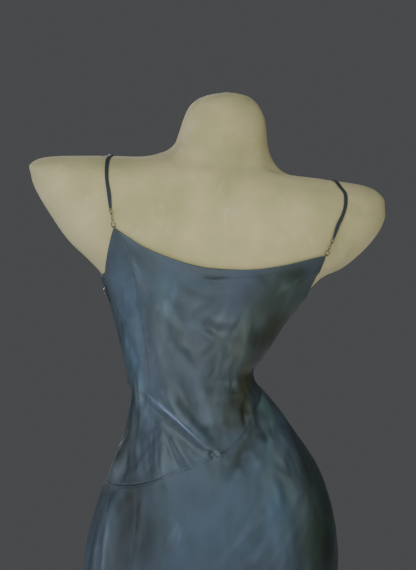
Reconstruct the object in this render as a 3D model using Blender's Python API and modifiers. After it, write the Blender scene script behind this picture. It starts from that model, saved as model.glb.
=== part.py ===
"""Satin mermaid dress with spaghetti straps, on a limbless dress form with a round stand.

Blender 4.5, metres, +Z up. The floor is z = 0 and the stand's base is centred on the origin.
The dress faces -Y, so its back looks along +Y, and +X is the wearer's left.
Places on the dress are given as an angle round the figure in degrees (0 at the wearer's left,
90 at the back, 180 at the wearer's right, 270 at the front) and a level, which is the height
of that section's centre. The figure stands with its hip thrown out, so each section tilts.
"""
import math
from collections import namedtuple

import bmesh
import bpy
from mathutils import Matrix, Vector
from mathutils.bvhtree import BVHTree

# ---------------------------------------------------------------- driving sizes, metres
CLOTH = 0.0012               # wall of every cloth panel
SEAM_GAP = 0.0005            # between two panels at a seam
FIT_GAP = 0.0003             # between two pieces that touch on the real dress
FORM_BOTTOM = 0.700          # flat underside of the form
FORM_EDGE_RADIUS = 0.018     # rounding of that underside
FORM_INSET = 0.0022          # how far the form lies inside the figure where the dress covers it
INSET_FROM, INSET_TO = 1.300, 1.245
BASE_RADIUS, BASE_HEIGHT = 0.170, 0.014
POLE_RADIUS = 0.016

Section = namedtuple("Section", "height centre_x half_width tilt back front square")
FIGURE = [Section(*row) for row in (
    # height  centre_x half_width tilt  back   front  square
    (1.4890, -0.023, 0.001,   0.0, 0.001, 0.001, 2.00),    # top of the neck cap
    (1.4860, -0.022, 0.022,   0.0, 0.013, 0.024, 2.00),
    (1.4800, -0.019, 0.039,  -1.0, 0.026, 0.040, 2.00),
    (1.4680, -0.018, 0.052,  -1.0, 0.037, 0.053, 2.10),
    (1.4490, -0.018, 0.061,  -1.0, 0.044, 0.060, 2.10),
    (1.4280, -0.016, 0.066,  -1.0, 0.048, 0.061, 2.10),
    (1.4080, -0.014, 0.071,   2.0, 0.053, 0.061, 2.00),    # root of the neck
    (1.3910, -0.011, 0.084,   6.0, 0.058, 0.060, 1.70),
    (1.3790, -0.005, 0.112,   7.0, 0.062, 0.058, 1.45),    # slope of the shoulders
    (1.3760, -0.001, 0.170,   6.0, 0.066, 0.060, 1.35),
    (1.3700,  0.007, 0.240,   5.3, 0.071, 0.064, 1.45),
    (1.3570,  0.008, 0.266,   5.4, 0.078, 0.071, 1.90),
    (1.3400,  0.006, 0.268,   5.7, 0.084, 0.077, 2.20),    # shoulder caps
    (1.3190,  0.003, 0.263,   5.1, 0.090, 0.084, 2.40),
    (1.2880, -0.001, 0.245,   4.1, 0.096, 0.092, 2.40),
    (1.2570, -0.003, 0.222,   2.8, 0.098, 0.098, 2.40),
    (1.2310, -0.005, 0.193,   1.9, 0.097, 0.102, 2.35),
    (1.2120,  0.001, 0.167,   1.0, 0.095, 0.104, 2.30),    # underarm
    (1.1800,  0.009, 0.146,   0.6, 0.091, 0.104, 2.20),
    (1.1500,  0.015, 0.129,  -1.0, 0.086, 0.100, 2.15),
    (1.1130,  0.022, 0.113,  -1.5, 0.081, 0.094, 2.10),
    (1.0810,  0.028, 0.099,  -3.0, 0.078, 0.090, 2.10),
    (1.0510,  0.031, 0.089,  -9.5, 0.078, 0.091, 2.05),    # waist
    (1.0280,  0.026, 0.098, -10.5, 0.083, 0.095, 2.05),
    (0.9980,  0.016, 0.113,  -8.0, 0.092, 0.100, 2.05),
    (0.9650,  0.009, 0.131,  -5.5, 0.102, 0.104, 2.10),
    (0.9240,  0.003, 0.153,  -5.0, 0.113, 0.107, 2.15),
    (0.8860,  0.001, 0.169,  -4.3, 0.119, 0.108, 2.20),
    (0.8450,  0.001, 0.181,  -3.8, 0.121, 0.108, 2.20),
    (0.7990,  0.002, 0.188,  -3.0, 0.118, 0.107, 2.20),    # hip
    (0.7500,  0.002, 0.189,  -2.0, 0.113, 0.105, 2.20),
    (0.6900,  0.002, 0.182,  -1.0, 0.107, 0.102, 2.15),
    (0.6000,  0.001, 0.166,   0.0, 0.099, 0.097, 2.10),    # below here only the skirt
    (0.5000,  0.000, 0.155,   0.0, 0.097, 0.094, 2.00),    # knee, where the flare starts
    (0.4100,  0.000, 0.162,   0.0, 0.110, 0.100, 2.00),
    (0.3100,  0.000, 0.200,   0.0, 0.155, 0.135, 2.00),
    (0.2000,  0.000, 0.270,   0.0, 0.240, 0.200, 2.00),
    (0.1000,  0.000, 0.350,   0.0, 0.335, 0.275, 2.00),
    (0.0120,  0.000, 0.430,   0.0, 0.430, 0.345, 2.00),    # hem
)]

Bust = namedtuple("Bust", "level tall_above tall_below centre_x plateau fade rise")
BUST = Bust(1.165, 0.055, 0.050, 0.012, 0.074, 0.050, 0.030)

Ease = namedtuple("Ease", "level side back front")     # cloth's outer face out from the figure
EASE = [Ease(*row) for row in (
    (1.30, 0.0036, 0.0036, 0.0036),
    (1.16, 0.0036, 0.0045, 0.0036),
    (1.06, 0.0036, 0.0090, 0.0070),      # the cloth spans the small of the back
    (0.97, 0.0036, 0.0060, 0.0060),
    (0.86, 0.0036, 0.0040, 0.0050),
    (0.00, 0.0036, 0.0040, 0.0040),
)]

# Edges and seams of the cloth: angle and level
NECKLINE_BACK = ((56.5, 1.2780), (61.0, 1.2672), (67.0, 1.2530), (75.5, 1.2398), (85.5, 1.2298),
                 (94.5, 1.2269), (106.0, 1.2286), (118.5, 1.2374), (130.5, 1.2500),
                 (135.0, 1.2530))
NECKLINE_FRONT = ((244.0, 1.238), (251.0, 1.222), (262.0, 1.212), (274.0, 1.212),
                  (286.0, 1.227), (296.0, 1.255))
ARMHOLE_LEFT_BACK = ((18.0, 1.2135), (25.0, 1.217), (38.0, 1.2335), (49.0, 1.254),
                     (56.5, 1.2780))
ARMHOLE_LEFT_FRONT = ((296.0, 1.255), (312.0, 1.226), (336.0, 1.208), (360.0, 1.2065),
                      (378.0, 1.2135))
ARMHOLE_RIGHT_BACK = ((135.0, 1.253), (141.0, 1.230), (155.0, 1.211), (166.0, 1.191),
                      (180.0, 1.180))
ARMHOLE_RIGHT_FRONT = ((180.0, 1.180), (200.0, 1.186), (224.0, 1.207), (244.0, 1.238))
PRINCESS_SEAM = ((56.5, 1.2780), (58.5, 1.258), (54.5, 1.232), (52.0, 1.215), (50.5, 1.190),
                 (50.5, 1.160), (51.0, 1.130), (51.5, 1.076), (51.5, 1.009), (54.0, 0.960),
                 (58.0, 0.920))
ZIP_SEAM = ((18.0, 1.2135), (13.0, 1.195), (9.0, 1.165), (4.0, 1.110), (2.0, 1.060),
            (6.0, 1.015), (24.0, 0.974), (36.0, 0.941), (42.5, 0.914))
SKIRT_SEAM_LEFT = ((42.5, 0.914), (47.0, 0.896), (51.5, 0.851), (54.0, 0.790), (54.0, 0.700),
                   (50.0, 0.560), (48.0, 0.400), (48.0, 0.012))
HIP_SEAM = ((-2.0, 0.9195), (20.0, 0.915), (42.5, 0.914), (58.0, 0.920), (70.0, 0.930),
            (80.5, 0.939), (95.5, 0.952), (104.0, 0.960), (112.0, 0.9705), (124.5, 0.9875),
            (137.0, 1.003), (158.0, 1.019), (180.0, 1.026), (205.0, 1.022), (240.0, 0.996),
            (270.0, 0.969), (300.0, 0.947), (330.0, 0.930), (358.0, 0.9195), (380.0, 0.915),
            (402.5, 0.914))
RIGHT_SIDE = 180.0
HEM_LEVEL = 0.012

Fold = namedtuple("Fold", "face x_from z_from x_to z_to half_width rise_from rise_to")
FOLDS = [Fold(*row) for row in (
    # face    x_from z_from   x_to   z_to  half_w  rise at both ends
    ("back",  0.100, 1.046, -0.004, 0.956, 0.014,  0.0030,  0.0045),   # long ridge to the hip seam
    ("back",  0.075, 1.058,  0.008, 0.985, 0.014, -0.0010, -0.0035),   # hollow above it
    ("back",  0.078, 1.005,  0.012, 0.955, 0.011, -0.0010, -0.0030),   # hollow below it
    ("back",  0.055, 0.968,  0.030, 0.938, 0.010,  0.0010,  0.0030),   # fan fold at the seam
    ("back", -0.064, 0.995, -0.044, 0.946, 0.016, -0.0020, -0.0015),   # folds below the right waist
    ("back", -0.068, 0.965, -0.090, 0.900, 0.015,  0.0030,  0.0005),
    ("back", -0.100, 1.005, -0.134, 0.930, 0.013,  0.0030,  0.0005),
    ("back",  0.118, 0.890,  0.117, 0.770, 0.012, -0.0010, -0.0010),
    ("front", 0.110, 1.035,  0.020, 0.985, 0.016,  0.0030,  0.0030),
    ("front", -0.020, 1.060, 0.060, 0.950, 0.016,  0.0030,  0.0010),
    ("front", -0.070, 0.940, -0.110, 0.850, 0.018, 0.0030,  0.0005),
)]
FLUTES = 9                    # hanging folds round the hem
FLUTE_DEPTH = 0.034
FLUTE_START = 0.470

# Columns of each panel's grid; panels that meet share theirs
SIDE_COLUMNS, BACK_COLUMNS, FRONT_COLUMNS = 5, 19, 24
BODICE_ROWS, SKIRT_ROWS = 20, 20
SKIRT_ROW_POWER = 1.45        # packs the skirt's rows towards the hip seam

# Straps: angle over the shoulder (0 back, 90 up) and x
SHOULDER_AXIS = 1.280
STRAP_WIDTH, STRAP_THICK, STRAP_LIFT = 0.0060, 0.0016, 0.0009
StrapStop = namedtuple("StrapStop", "swing x")
STRAPS = {                    # the first row is where the chain's end meets the strap
    "left": [StrapStop(*row) for row in (
        (20.0, 0.1470), (35.0, 0.1512), (50.0, 0.1550), (65.0, 0.1555), (80.0, 0.1540),
        (105.0, 0.1490), (135.0, 0.1380), (160.0, 0.1250), (180.0, 0.1150))],
    "right": [StrapStop(*row) for row in (
        (-7.0, -0.1765), (8.0, -0.1850), (18.0, -0.1910), (29.0, -0.1955), (40.0, -0.1973),
        (50.0, -0.1965), (60.0, -0.1900), (75.0, -0.1840), (100.0, -0.1740), (135.0, -0.1540),
        (160.0, -0.1340), (180.0, -0.1190))],
}
STRAP_STEPS = 40
STRAP_END_STEPS = 7           # over these the strap leaves the form for its fastening

# Rings, chain and clasp that join each strap to the back corner of the bodice
CHAIN_LIFT = 0.0028           # chain's middle above the form
RING_RADIUS, RING_WIRE = 0.0033, 0.0005
LINK_RADIUS, LINK_STRAIGHT, LINK_WIRE = 0.0013, 0.0026, 0.0004
LINKS = 3
CLASP_RADIUS, CLASP_STRAIGHT, CLASP_WIRE = 0.0024, 0.0036, 0.0007
LINK_PLAY = 0.00015           # air between two links where they bear on each other

# Zip slider and its pull, on the left seam
SLIDER_LEVEL = 1.190
SLIDER_LENGTH, SLIDER_WIDTH, SLIDER_THICK = 0.0090, 0.0056, 0.0016
BAIL_LENGTH, BAIL_WIDTH, BAIL_HEIGHT = 0.0054, 0.0014, 0.0028
BAIL_HOLE_RADIUS, PIVOT_HEIGHT = 0.0010, 0.0012
PULL_LENGTH, PULL_WIDTH, PULL_THICK = 0.0200, 0.0042, 0.0010
PULL_BAR, PULL_EYE_LENGTH, PULL_EYE_WIDTH = 0.0010, 0.0044, 0.0022

SATIN = ("satin", (0.070, 0.110, 0.145), 0.38, 0.0)
LINEN = ("form_cover", (0.42, 0.38, 0.26), 0.90, 0.0)
GOLD = ("gold_metal", (0.66, 0.48, 0.20), 0.28, 1.0)
DARK_METAL = ("stand_metal", (0.05, 0.05, 0.055), 0.45, 0.9)


# ---------------------------------------------------------------- smooth tables
def catmull(before, start, end, after, t):
    """Value a fraction t of the way from start to end, on a smooth curve through all four."""
    return 0.5 * (2 * start + (end - before) * t
                  + (2 * before - 5 * start + 4 * end - after) * t * t
                  + (3 * start - before - 3 * end + after) * t ** 3)


def smooth_row(table, place):
    """Row of a table at a fractional place between its rows."""
    last = len(table) - 1
    place = min(max(place, 0.0), float(last))
    first = min(int(place), last - 1)
    around = [table[min(max(first + k, 0), last)] for k in (-1, 0, 1, 2)]
    return [catmull(*values, place - first) for values in zip(*around)]


def along(table, fraction):
    """Point of a smooth line through the table's rows, at an even fraction of its length."""
    steps = [0.0]
    for a, b in zip(table, table[1:]):
        steps.append(steps[-1] + math.hypot((b[0] - a[0]) * 0.0025, b[1] - a[1]))
    want = fraction * steps[-1]
    for k in range(len(table) - 1):
        if want <= steps[k + 1] or k == len(table) - 2:
            return smooth_row(table, k + (want - steps[k]) / (steps[k + 1] - steps[k]))


def at_column(table, value, column, other):
    """Value of one column where another, which only rises or only falls, has a given value."""
    rising = table[-1][column] > table[0][column]
    for k in range(len(table) - 1):
        a, b = table[k][column], table[k + 1][column]
        if (a <= value <= b) if rising else (b <= value <= a):
            low, high = float(k), float(k + 1)
            for _ in range(30):
                middle = (low + high) / 2
                if (smooth_row(table, middle)[column] < value) == rising:
                    low = middle
                else:
                    high = middle
            return smooth_row(table, low)[other]
    return table[0][other] if (value < table[0][column]) == rising else table[-1][other]


def smoothstep(value):
    value = min(max(value, 0.0), 1.0)
    return value * value * (3 - 2 * value)


def signed_power(value, exponent):
    return math.copysign(abs(value) ** exponent, value)


# ---------------------------------------------------------------- figure and cloth surface
def section_at(level):
    low, high = 0.0, len(FIGURE) - 1.0
    for _ in range(34):
        middle = (low + high) / 2
        if smooth_row(FIGURE, middle)[0] > level:
            low = middle
        else:
            high = middle
    return Section(*smooth_row(FIGURE, low))


def bust_rise(x, level):
    tall = BUST.tall_above if level > BUST.level else BUST.tall_below
    beyond = max(0.0, abs(x - BUST.centre_x) - BUST.plateau) / BUST.fade
    return BUST.rise * math.exp(-((level - BUST.level) / tall) ** 2 - beyond ** 2)


def section_point(section, angle, out):
    """Point of a section's ring at an angle, moved straight out from it."""
    cosine, sine = math.cos(math.radians(angle)), math.sin(math.radians(angle))
    depth = section.back if sine >= 0 else section.front
    across = section.half_width * signed_power(cosine, 2 / section.square)
    deep = depth * signed_power(sine, 2 / section.square)
    normal = Vector((signed_power(cosine, 2 - 2 / section.square) / section.half_width,
                     signed_power(sine, 2 - 2 / section.square) / depth))
    normal.normalize()
    if sine < 0:
        deep -= bust_rise(section.centre_x + across, section.height) * smoothstep(-sine * 2)
    across += normal.x * out
    deep += normal.y * out
    tilt = math.radians(section.tilt)
    return Vector((section.centre_x + across * math.cos(tilt), deep,
                   section.height + across * math.sin(tilt)))


def ease_at(level, angle):
    side = at_column(EASE, level, 0, 1)
    sine = math.sin(math.radians(angle))
    facing = at_column(EASE, level, 0, 2 if sine > 0 else 3)
    return side + (facing - side) * sine * sine


def fold_rise(point, faces_back):
    """Height of the folds at a point of the cloth, seen from the back or the front."""
    rise = 0.0
    for fold in FOLDS:
        if (fold.face == "back") != faces_back:
            continue
        start, end = Vector((fold.x_from, fold.z_from)), Vector((fold.x_to, fold.z_to))
        run = end - start
        place = Vector((point.x, point.z)) - start
        t = place.dot(run) / run.length_squared
        aside = abs(place.cross(run)) / run.length
        fade = smoothstep((t + 0.18) / 0.3) * smoothstep((1.18 - t) / 0.3)
        height = fold.rise_from + (fold.rise_to - fold.rise_from) * min(max(t, 0.0), 1.0)
        rise += height * fade * math.exp(-(aside / fold.half_width) ** 2)
    return rise


def flute_rise(level, angle):
    depth = FLUTE_DEPTH * smoothstep((FLUTE_START - level) / FLUTE_START) ** 1.3
    turn = math.radians(angle)
    wave = math.cos(FLUTES * turn + 0.7 * math.sin(2 * turn + 0.6) + 0.4)
    return depth * (wave * (1 + 0.25 * math.sin(3 * turn + 1.0)) + 0.3)


def dress_point(level, angle):
    """Point of the cloth's outer face."""
    section = section_at(level)
    out = ease_at(level, angle) + flute_rise(level, angle)
    flat = section_point(section, angle, out)
    return section_point(section, angle, out + fold_rise(flat, math.sin(math.radians(angle)) > 0))


def dress_frame(level, angle):
    """Place on the cloth, with the directions down it and out of it."""
    step = 0.004
    here = dress_point(level, angle)
    down = (dress_point(level - step, angle) - dress_point(level + step, angle)).normalized()
    round_way = dress_point(level, angle + 2) - dress_point(level, angle - 2)
    out = down.cross(round_way).normalized()
    return here, down, out


# ---------------------------------------------------------------- Blender helpers
def clear_scene():
    for obj in list(bpy.data.objects):
        bpy.data.objects.remove(obj, do_unlink=True)


def material(finish):
    name, colour, roughness, metallic = finish
    made = bpy.data.materials.get(name)
    if made:
        return made
    made = bpy.data.materials.new(name)
    made.use_nodes = True
    shader = made.node_tree.nodes["Principled BSDF"]
    shader.inputs["Base Color"].default_value = (*colour, 1.0)
    shader.inputs["Roughness"].default_value = roughness
    shader.inputs["Metallic"].default_value = metallic
    return made


def new_object(name, mesh, finish, smooth_angle=40):
    obj = bpy.data.objects.new(name, mesh)
    mesh.materials.append(material(finish))
    mesh.shade_smooth()
    mesh.set_sharp_from_angle(angle=math.radians(smooth_angle))
    PARTS.objects.link(obj)
    return obj


def mesh_from(bm, name):
    mesh = bpy.data.meshes.new(name)
    bm.to_mesh(mesh)
    bm.free()
    return mesh


def frame_matrix(place, x_axis, y_axis, z_axis):
    return Matrix.Translation(place) @ Matrix((x_axis, y_axis, z_axis)).transposed().to_4x4()


def solidify(obj, thickness, offset=-1.0):
    shell = obj.modifiers.new("wall", "SOLIDIFY")
    shell.thickness = thickness
    shell.offset = offset
    shell.use_even_offset = True


# ---------------------------------------------------------------- cloth panels
def coons(top, bottom, left, right, u, v):
    """Patch between four edges, each a function of 0..1, that share their corners."""
    pairs = []
    for k in (0, 1):
        sides = (1 - u) * left(v)[k] + u * right(v)[k]
        ends = (1 - v) * top(u)[k] + v * bottom(u)[k]
        corners = ((1 - u) * ((1 - v) * top(0)[k] + v * bottom(0)[k])
                   + u * ((1 - v) * top(1)[k] + v * bottom(1)[k]))
        pairs.append(sides + ends - corners)
    return pairs


def cloth_panel(name, columns, rows, edges):
    """Panel of cloth on the dress's surface, a little short of its seams all round."""
    points = {}
    for i in range(columns + 1):
        for j in range(rows + 1):
            angle, level = coons(*edges, i / columns, j / rows)
            points[i, j] = dress_point(level, angle)
    whole = dict(points)
    for (i, j), point in whole.items():
        inward = [whole[1, j] - point if i == 0 else None,
                  whole[columns - 1, j] - point if i == columns else None,
                  whole[i, 1] - point if j == 0 else None,
                  whole[i, rows - 1] - point if j == rows else None]
        for step in filter(None, inward):
            points[i, j] = points[i, j] + step.normalized() * SEAM_GAP / 2
    bm = bmesh.new()
    bmesh.ops.create_grid(bm, x_segments=columns, y_segments=rows, size=1.0)
    for vert in bm.verts:
        i = round((vert.co.x + 1) / 2 * columns)
        j = round((1 - vert.co.y) / 2 * rows)
        vert.co = points[i, j]
    panel = new_object(name, mesh_from(bm, name), SATIN, 80)
    solidify(panel, CLOTH)
    return panel


def joined_lines(columns_first, line_first, columns_second, line_second):
    """Edge made of two lines, with its corner on a grid column."""
    share = columns_first / (columns_first + columns_second)

    def edge(u):
        if u < share:
            return along(line_first, u / share)
        return along(line_second, (u - share) / (1 - share))
    return edge


def hip_edge(first_angle, last_angle):
    def edge(u):
        angle = first_angle + (last_angle - first_angle) * u
        return angle, at_column(HIP_SEAM, angle, 0, 1)
    return edge


def down_seam(seam, top_level, bottom_level, row_power=1.0, turn=0.0):
    """Seam with its rows at set levels, so that the panels on both sides of it match."""
    def edge(v):
        level = top_level + (bottom_level - top_level) * v ** row_power
        return at_column(seam, level, 1, 0) + turn, level
    return edge


def level_edge(first_angle, last_angle, level):
    return lambda u: (first_angle + (last_angle - first_angle) * u, level)


def build_bodice():
    zip_top, zip_foot = ZIP_SEAM[0], ZIP_SEAM[-1]
    tip, princess_foot = PRINCESS_SEAM[0], PRINCESS_SEAM[-1]
    side_top, side_foot = ARMHOLE_RIGHT_BACK[-1][1], at_column(HIP_SEAM, RIGHT_SIDE, 0, 1)
    right_seam = ((RIGHT_SIDE, side_top), (RIGHT_SIDE, side_foot))

    cloth_panel("bodice_back_side", SIDE_COLUMNS, BODICE_ROWS, (
        lambda u: along(ARMHOLE_LEFT_BACK, u),
        hip_edge(zip_foot[0], princess_foot[0]),
        down_seam(ZIP_SEAM, zip_top[1], zip_foot[1]),
        down_seam(PRINCESS_SEAM, tip[1], princess_foot[1])))
    armhole_columns = 4
    cloth_panel("bodice_back", BACK_COLUMNS, BODICE_ROWS, (
        joined_lines(BACK_COLUMNS - armhole_columns, NECKLINE_BACK,
                     armhole_columns, ARMHOLE_RIGHT_BACK),
        hip_edge(princess_foot[0], RIGHT_SIDE),
        down_seam(PRINCESS_SEAM, tip[1], princess_foot[1]),
        down_seam(right_seam, side_top, side_foot)))

    right_columns, neck_columns = 7, 9
    left_columns = FRONT_COLUMNS - right_columns - neck_columns

    def front_top(u):
        column = u * FRONT_COLUMNS
        if column < right_columns:
            return along(ARMHOLE_RIGHT_FRONT, column / right_columns)
        if column < right_columns + neck_columns:
            return along(NECKLINE_FRONT, (column - right_columns) / neck_columns)
        return along(ARMHOLE_LEFT_FRONT, (column - right_columns - neck_columns) / left_columns)
    cloth_panel("bodice_front", FRONT_COLUMNS, BODICE_ROWS, (
        front_top,
        hip_edge(RIGHT_SIDE, zip_foot[0] + 360),
        down_seam(right_seam, side_top, side_foot),
        down_seam(ZIP_SEAM, zip_top[1], zip_foot[1], turn=360)))


def build_skirt():
    left_top, left_foot = SKIRT_SEAM_LEFT[0], SKIRT_SEAM_LEFT[-1]
    princess_foot = PRINCESS_SEAM[-1][0]
    right_top = at_column(HIP_SEAM, RIGHT_SIDE, 0, 1)
    right_seam = ((RIGHT_SIDE, right_top), (RIGHT_SIDE, HEM_LEVEL))
    columns = SIDE_COLUMNS + BACK_COLUMNS

    def back_top(u):
        column = u * columns
        if column <= SIDE_COLUMNS:
            return hip_edge(left_top[0], princess_foot)(column / SIDE_COLUMNS)
        return hip_edge(princess_foot, RIGHT_SIDE)((column - SIDE_COLUMNS) / BACK_COLUMNS)
    cloth_panel("skirt_back", columns, SKIRT_ROWS, (
        back_top,
        level_edge(left_foot[0], RIGHT_SIDE, HEM_LEVEL),
        down_seam(SKIRT_SEAM_LEFT, left_top[1], HEM_LEVEL, SKIRT_ROW_POWER),
        down_seam(right_seam, right_top, HEM_LEVEL, SKIRT_ROW_POWER)))
    cloth_panel("skirt_front", FRONT_COLUMNS, SKIRT_ROWS, (
        hip_edge(RIGHT_SIDE, left_top[0] + 360),
        level_edge(RIGHT_SIDE, left_foot[0] + 360, HEM_LEVEL),
        down_seam(right_seam, right_top, HEM_LEVEL, SKIRT_ROW_POWER),
        down_seam(SKIRT_SEAM_LEFT, left_top[1], HEM_LEVEL, SKIRT_ROW_POWER, turn=360)))


# ---------------------------------------------------------------- form and stand
def build_form():
    """Sphere of rings and columns, each ring set to a section of the figure."""
    columns, rings = 36, 36
    edge_rings = 3
    body_rings = rings - edge_rings
    bottom_place = FIGURE.index(min(FIGURE, key=lambda s: abs(s.height - FORM_BOTTOM))) - 0.35
    bm = bmesh.new()
    bmesh.ops.create_uvsphere(bm, u_segments=columns, v_segments=rings, radius=1.0)
    for vert in bm.verts:
        ring = round(math.acos(min(max(vert.co.z, -1), 1)) * rings / math.pi)
        angle = math.degrees(math.atan2(vert.co.y, vert.co.x))
        if ring in (0, rings):
            level = FIGURE[0].height if ring == 0 else FORM_BOTTOM
            vert.co = (FIGURE[0 if ring == 0 else -1].centre_x, 0, level)
        elif ring < body_rings:
            place = 0.7 + (bottom_place - 0.7) * (ring - 1) / (body_rings - 2)
            section = Section(*smooth_row(FIGURE, place))
            covered = smoothstep((INSET_FROM - section.height) / (INSET_FROM - INSET_TO))
            vert.co = section_point(section, angle, -FORM_INSET * covered)
        else:
            turn = math.pi / 2 * (ring - body_rings + 1) / edge_rings
            inset = FORM_EDGE_RADIUS * (1 - math.cos(turn))
            level = FORM_BOTTOM + FORM_EDGE_RADIUS * (1 - math.sin(turn))
            vert.co = section_point(section_at(level)._replace(tilt=0), angle,
                                    -inset - FORM_INSET)
    return new_object("form_torso", mesh_from(bm, "form_torso"), LINEN, 60)


def build_stand():
    pole_foot, pole_top = BASE_HEIGHT + FIT_GAP, FORM_BOTTOM - FIT_GAP
    bm = bmesh.new()
    bmesh.ops.create_cone(bm, cap_ends=True, segments=24, radius1=POLE_RADIUS,
                          radius2=POLE_RADIUS, depth=pole_top - pole_foot)
    pole = new_object("stand_pole", mesh_from(bm, "stand_pole"), DARK_METAL)
    pole.location = (0, 0, (pole_foot + pole_top) / 2)
    bm = bmesh.new()
    bmesh.ops.create_cone(bm, cap_ends=True, segments=48, radius1=BASE_RADIUS,
                          radius2=BASE_RADIUS, depth=BASE_HEIGHT)
    base = new_object("stand_base", mesh_from(bm, "stand_base"), DARK_METAL)
    base.location = (0, 0, BASE_HEIGHT / 2)
    rounding = base.modifiers.new("rounding", "BEVEL")
    rounding.width = 0.004
    rounding.segments = 2


# ---------------------------------------------------------------- straps, chains and clasps
def on_form(tree, swing, x):
    """Point and normal of the form, looking out from the shoulder's axis at an angle."""
    turn = math.radians(swing)
    aim = Vector((0, math.cos(turn), math.sin(turn)))
    place, normal, _, _ = tree.ray_cast(Vector((x, 0, SHOULDER_AXIS)), aim)
    return place, normal


def swing_of(point):
    return (math.degrees(math.atan2(point.z - SHOULDER_AXIS, point.y)) + 90) % 360 - 90


def smooth_normal(tree, swing, x):
    """Normal of the form, evened out over its facets."""
    total = Vector((0, 0, 0))
    for turn in (-4, 0, 4):
        for aside in (-0.006, 0, 0.006):
            total += on_form(tree, swing + turn, x + aside)[1]
    return total.normalized()


def build_strap(tree, side, back_end, front_end):
    """Flat band over the shoulder, from its clasp to the front corner of the bodice."""
    first = StrapStop(swing_of(back_end), back_end.x)
    last = StrapStop(swing_of(front_end), front_end.x)
    stops = [first] + [stop for stop in STRAPS[side] if stop.swing > first.swing + 6] + [last]
    spine = []
    for k in range(STRAP_STEPS + 1):
        swing = first.swing + (last.swing - first.swing) * k / STRAP_STEPS
        x = at_column(stops, swing, 0, 1)
        place, _ = on_form(tree, swing, x)
        normal = smooth_normal(tree, swing, x)
        spine.append((place + normal * STRAP_LIFT, normal))
    slips = [end - spine[k][1] * STRAP_THICK / 2 - spine[k][0]
             for end, k in ((back_end, 0), (front_end, STRAP_STEPS))]
    for k, (place, normal) in enumerate(spine):
        to_back = smoothstep(1 - k / STRAP_END_STEPS)
        to_front = smoothstep(1 - (STRAP_STEPS - k) / STRAP_END_STEPS)
        spine[k] = (place + slips[0] * to_back + slips[1] * to_front, normal)
    bm = bmesh.new()
    bmesh.ops.create_grid(bm, x_segments=1, y_segments=STRAP_STEPS, size=1.0)
    for vert in bm.verts:
        k = round((vert.co.y + 1) / 2 * STRAP_STEPS)
        place, normal = spine[k]
        ahead = spine[min(k + 1, STRAP_STEPS)][0] - spine[max(k - 1, 0)][0]
        across = ahead.cross(normal).normalized()
        vert.co = place + across * vert.co.x * STRAP_WIDTH / 2
    strap = new_object("strap_" + side, mesh_from(bm, "strap_" + side), SATIN, 50)
    solidify(strap, STRAP_THICK, offset=1.0)


def oval_ring(name, radius, straight, wire, frame, segments=10):
    """Ring of wire in its frame's XY plane, pulled apart along X by its straight length."""
    bpy.ops.mesh.primitive_torus_add(major_segments=segments, minor_segments=6,
                                     major_radius=radius, minor_radius=wire)
    made = bpy.context.object
    mesh = made.data
    bpy.data.objects.remove(made)
    mesh.name = name
    for vert in mesh.vertices:
        vert.co.x += math.copysign(straight / 2, vert.co.x)
    ring = new_object(name, mesh, GOLD, 80)
    ring.matrix_world = frame


def build_chain(tree, side, corner):
    """Ring at the bodice's corner, its links and the clasp; returns the strap's back end."""
    strap_foot = STRAPS[side][0]
    toward, _ = on_form(tree, strap_foot.swing, strap_foot.x)
    out = smooth_normal(tree, swing_of(corner), corner.x)
    up = toward + out * CHAIN_LIFT - corner
    up = (up - out * up.dot(out) / 2).normalized()
    out = (out - up * out.dot(up)).normalized()
    aside = out.cross(up)
    origin = corner - out * CLOTH / 2 + up * (RING_RADIUS + RING_WIRE + FIT_GAP)
    flat = (up, aside, out)
    standing = (up, out, -aside)

    def put(name, reach, radius, straight, wire, axes):
        oval_ring(name, radius, straight, wire, frame_matrix(origin + up * reach, *axes))

    oval_ring("ring_" + side, RING_RADIUS, 0, RING_WIRE, frame_matrix(origin, *flat), 18)
    bearing = RING_RADIUS - RING_WIRE        # inner end of the piece that the next one hangs in
    for k in range(LINKS):
        foot = bearing - LINK_PLAY - LINK_WIRE
        middle = foot + LINK_RADIUS + LINK_STRAIGHT / 2
        put(f"link_{side}_{k + 1}", middle, LINK_RADIUS, LINK_STRAIGHT, LINK_WIRE,
            standing if k % 2 == 0 else flat)
        bearing = middle + LINK_STRAIGHT / 2 + LINK_RADIUS - LINK_WIRE
    middle = bearing - LINK_PLAY - CLASP_WIRE + CLASP_RADIUS + CLASP_STRAIGHT / 2
    put("clasp_" + side, middle, CLASP_RADIUS, CLASP_STRAIGHT, CLASP_WIRE, flat)
    clasp_end = middle + CLASP_STRAIGHT / 2 + CLASP_RADIUS + CLASP_WIRE
    return origin + up * (clasp_end + FIT_GAP)


def build_straps(form):
    tree = BVHTree.FromObject(form, bpy.context.evaluated_depsgraph_get())
    corners = {"left": PRINCESS_SEAM[0], "right": NECKLINE_BACK[-1]}
    front_tips = {"left": NECKLINE_FRONT[-1], "right": NECKLINE_FRONT[0]}
    for side in ("left", "right"):
        corner_angle, corner_level = corners[side]
        back_end = build_chain(tree, side, dress_point(corner_level, corner_angle))
        tip_angle, tip_level = front_tips[side]
        build_strap(tree, side, back_end, dress_point(tip_level + 0.0006, tip_angle))


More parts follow.
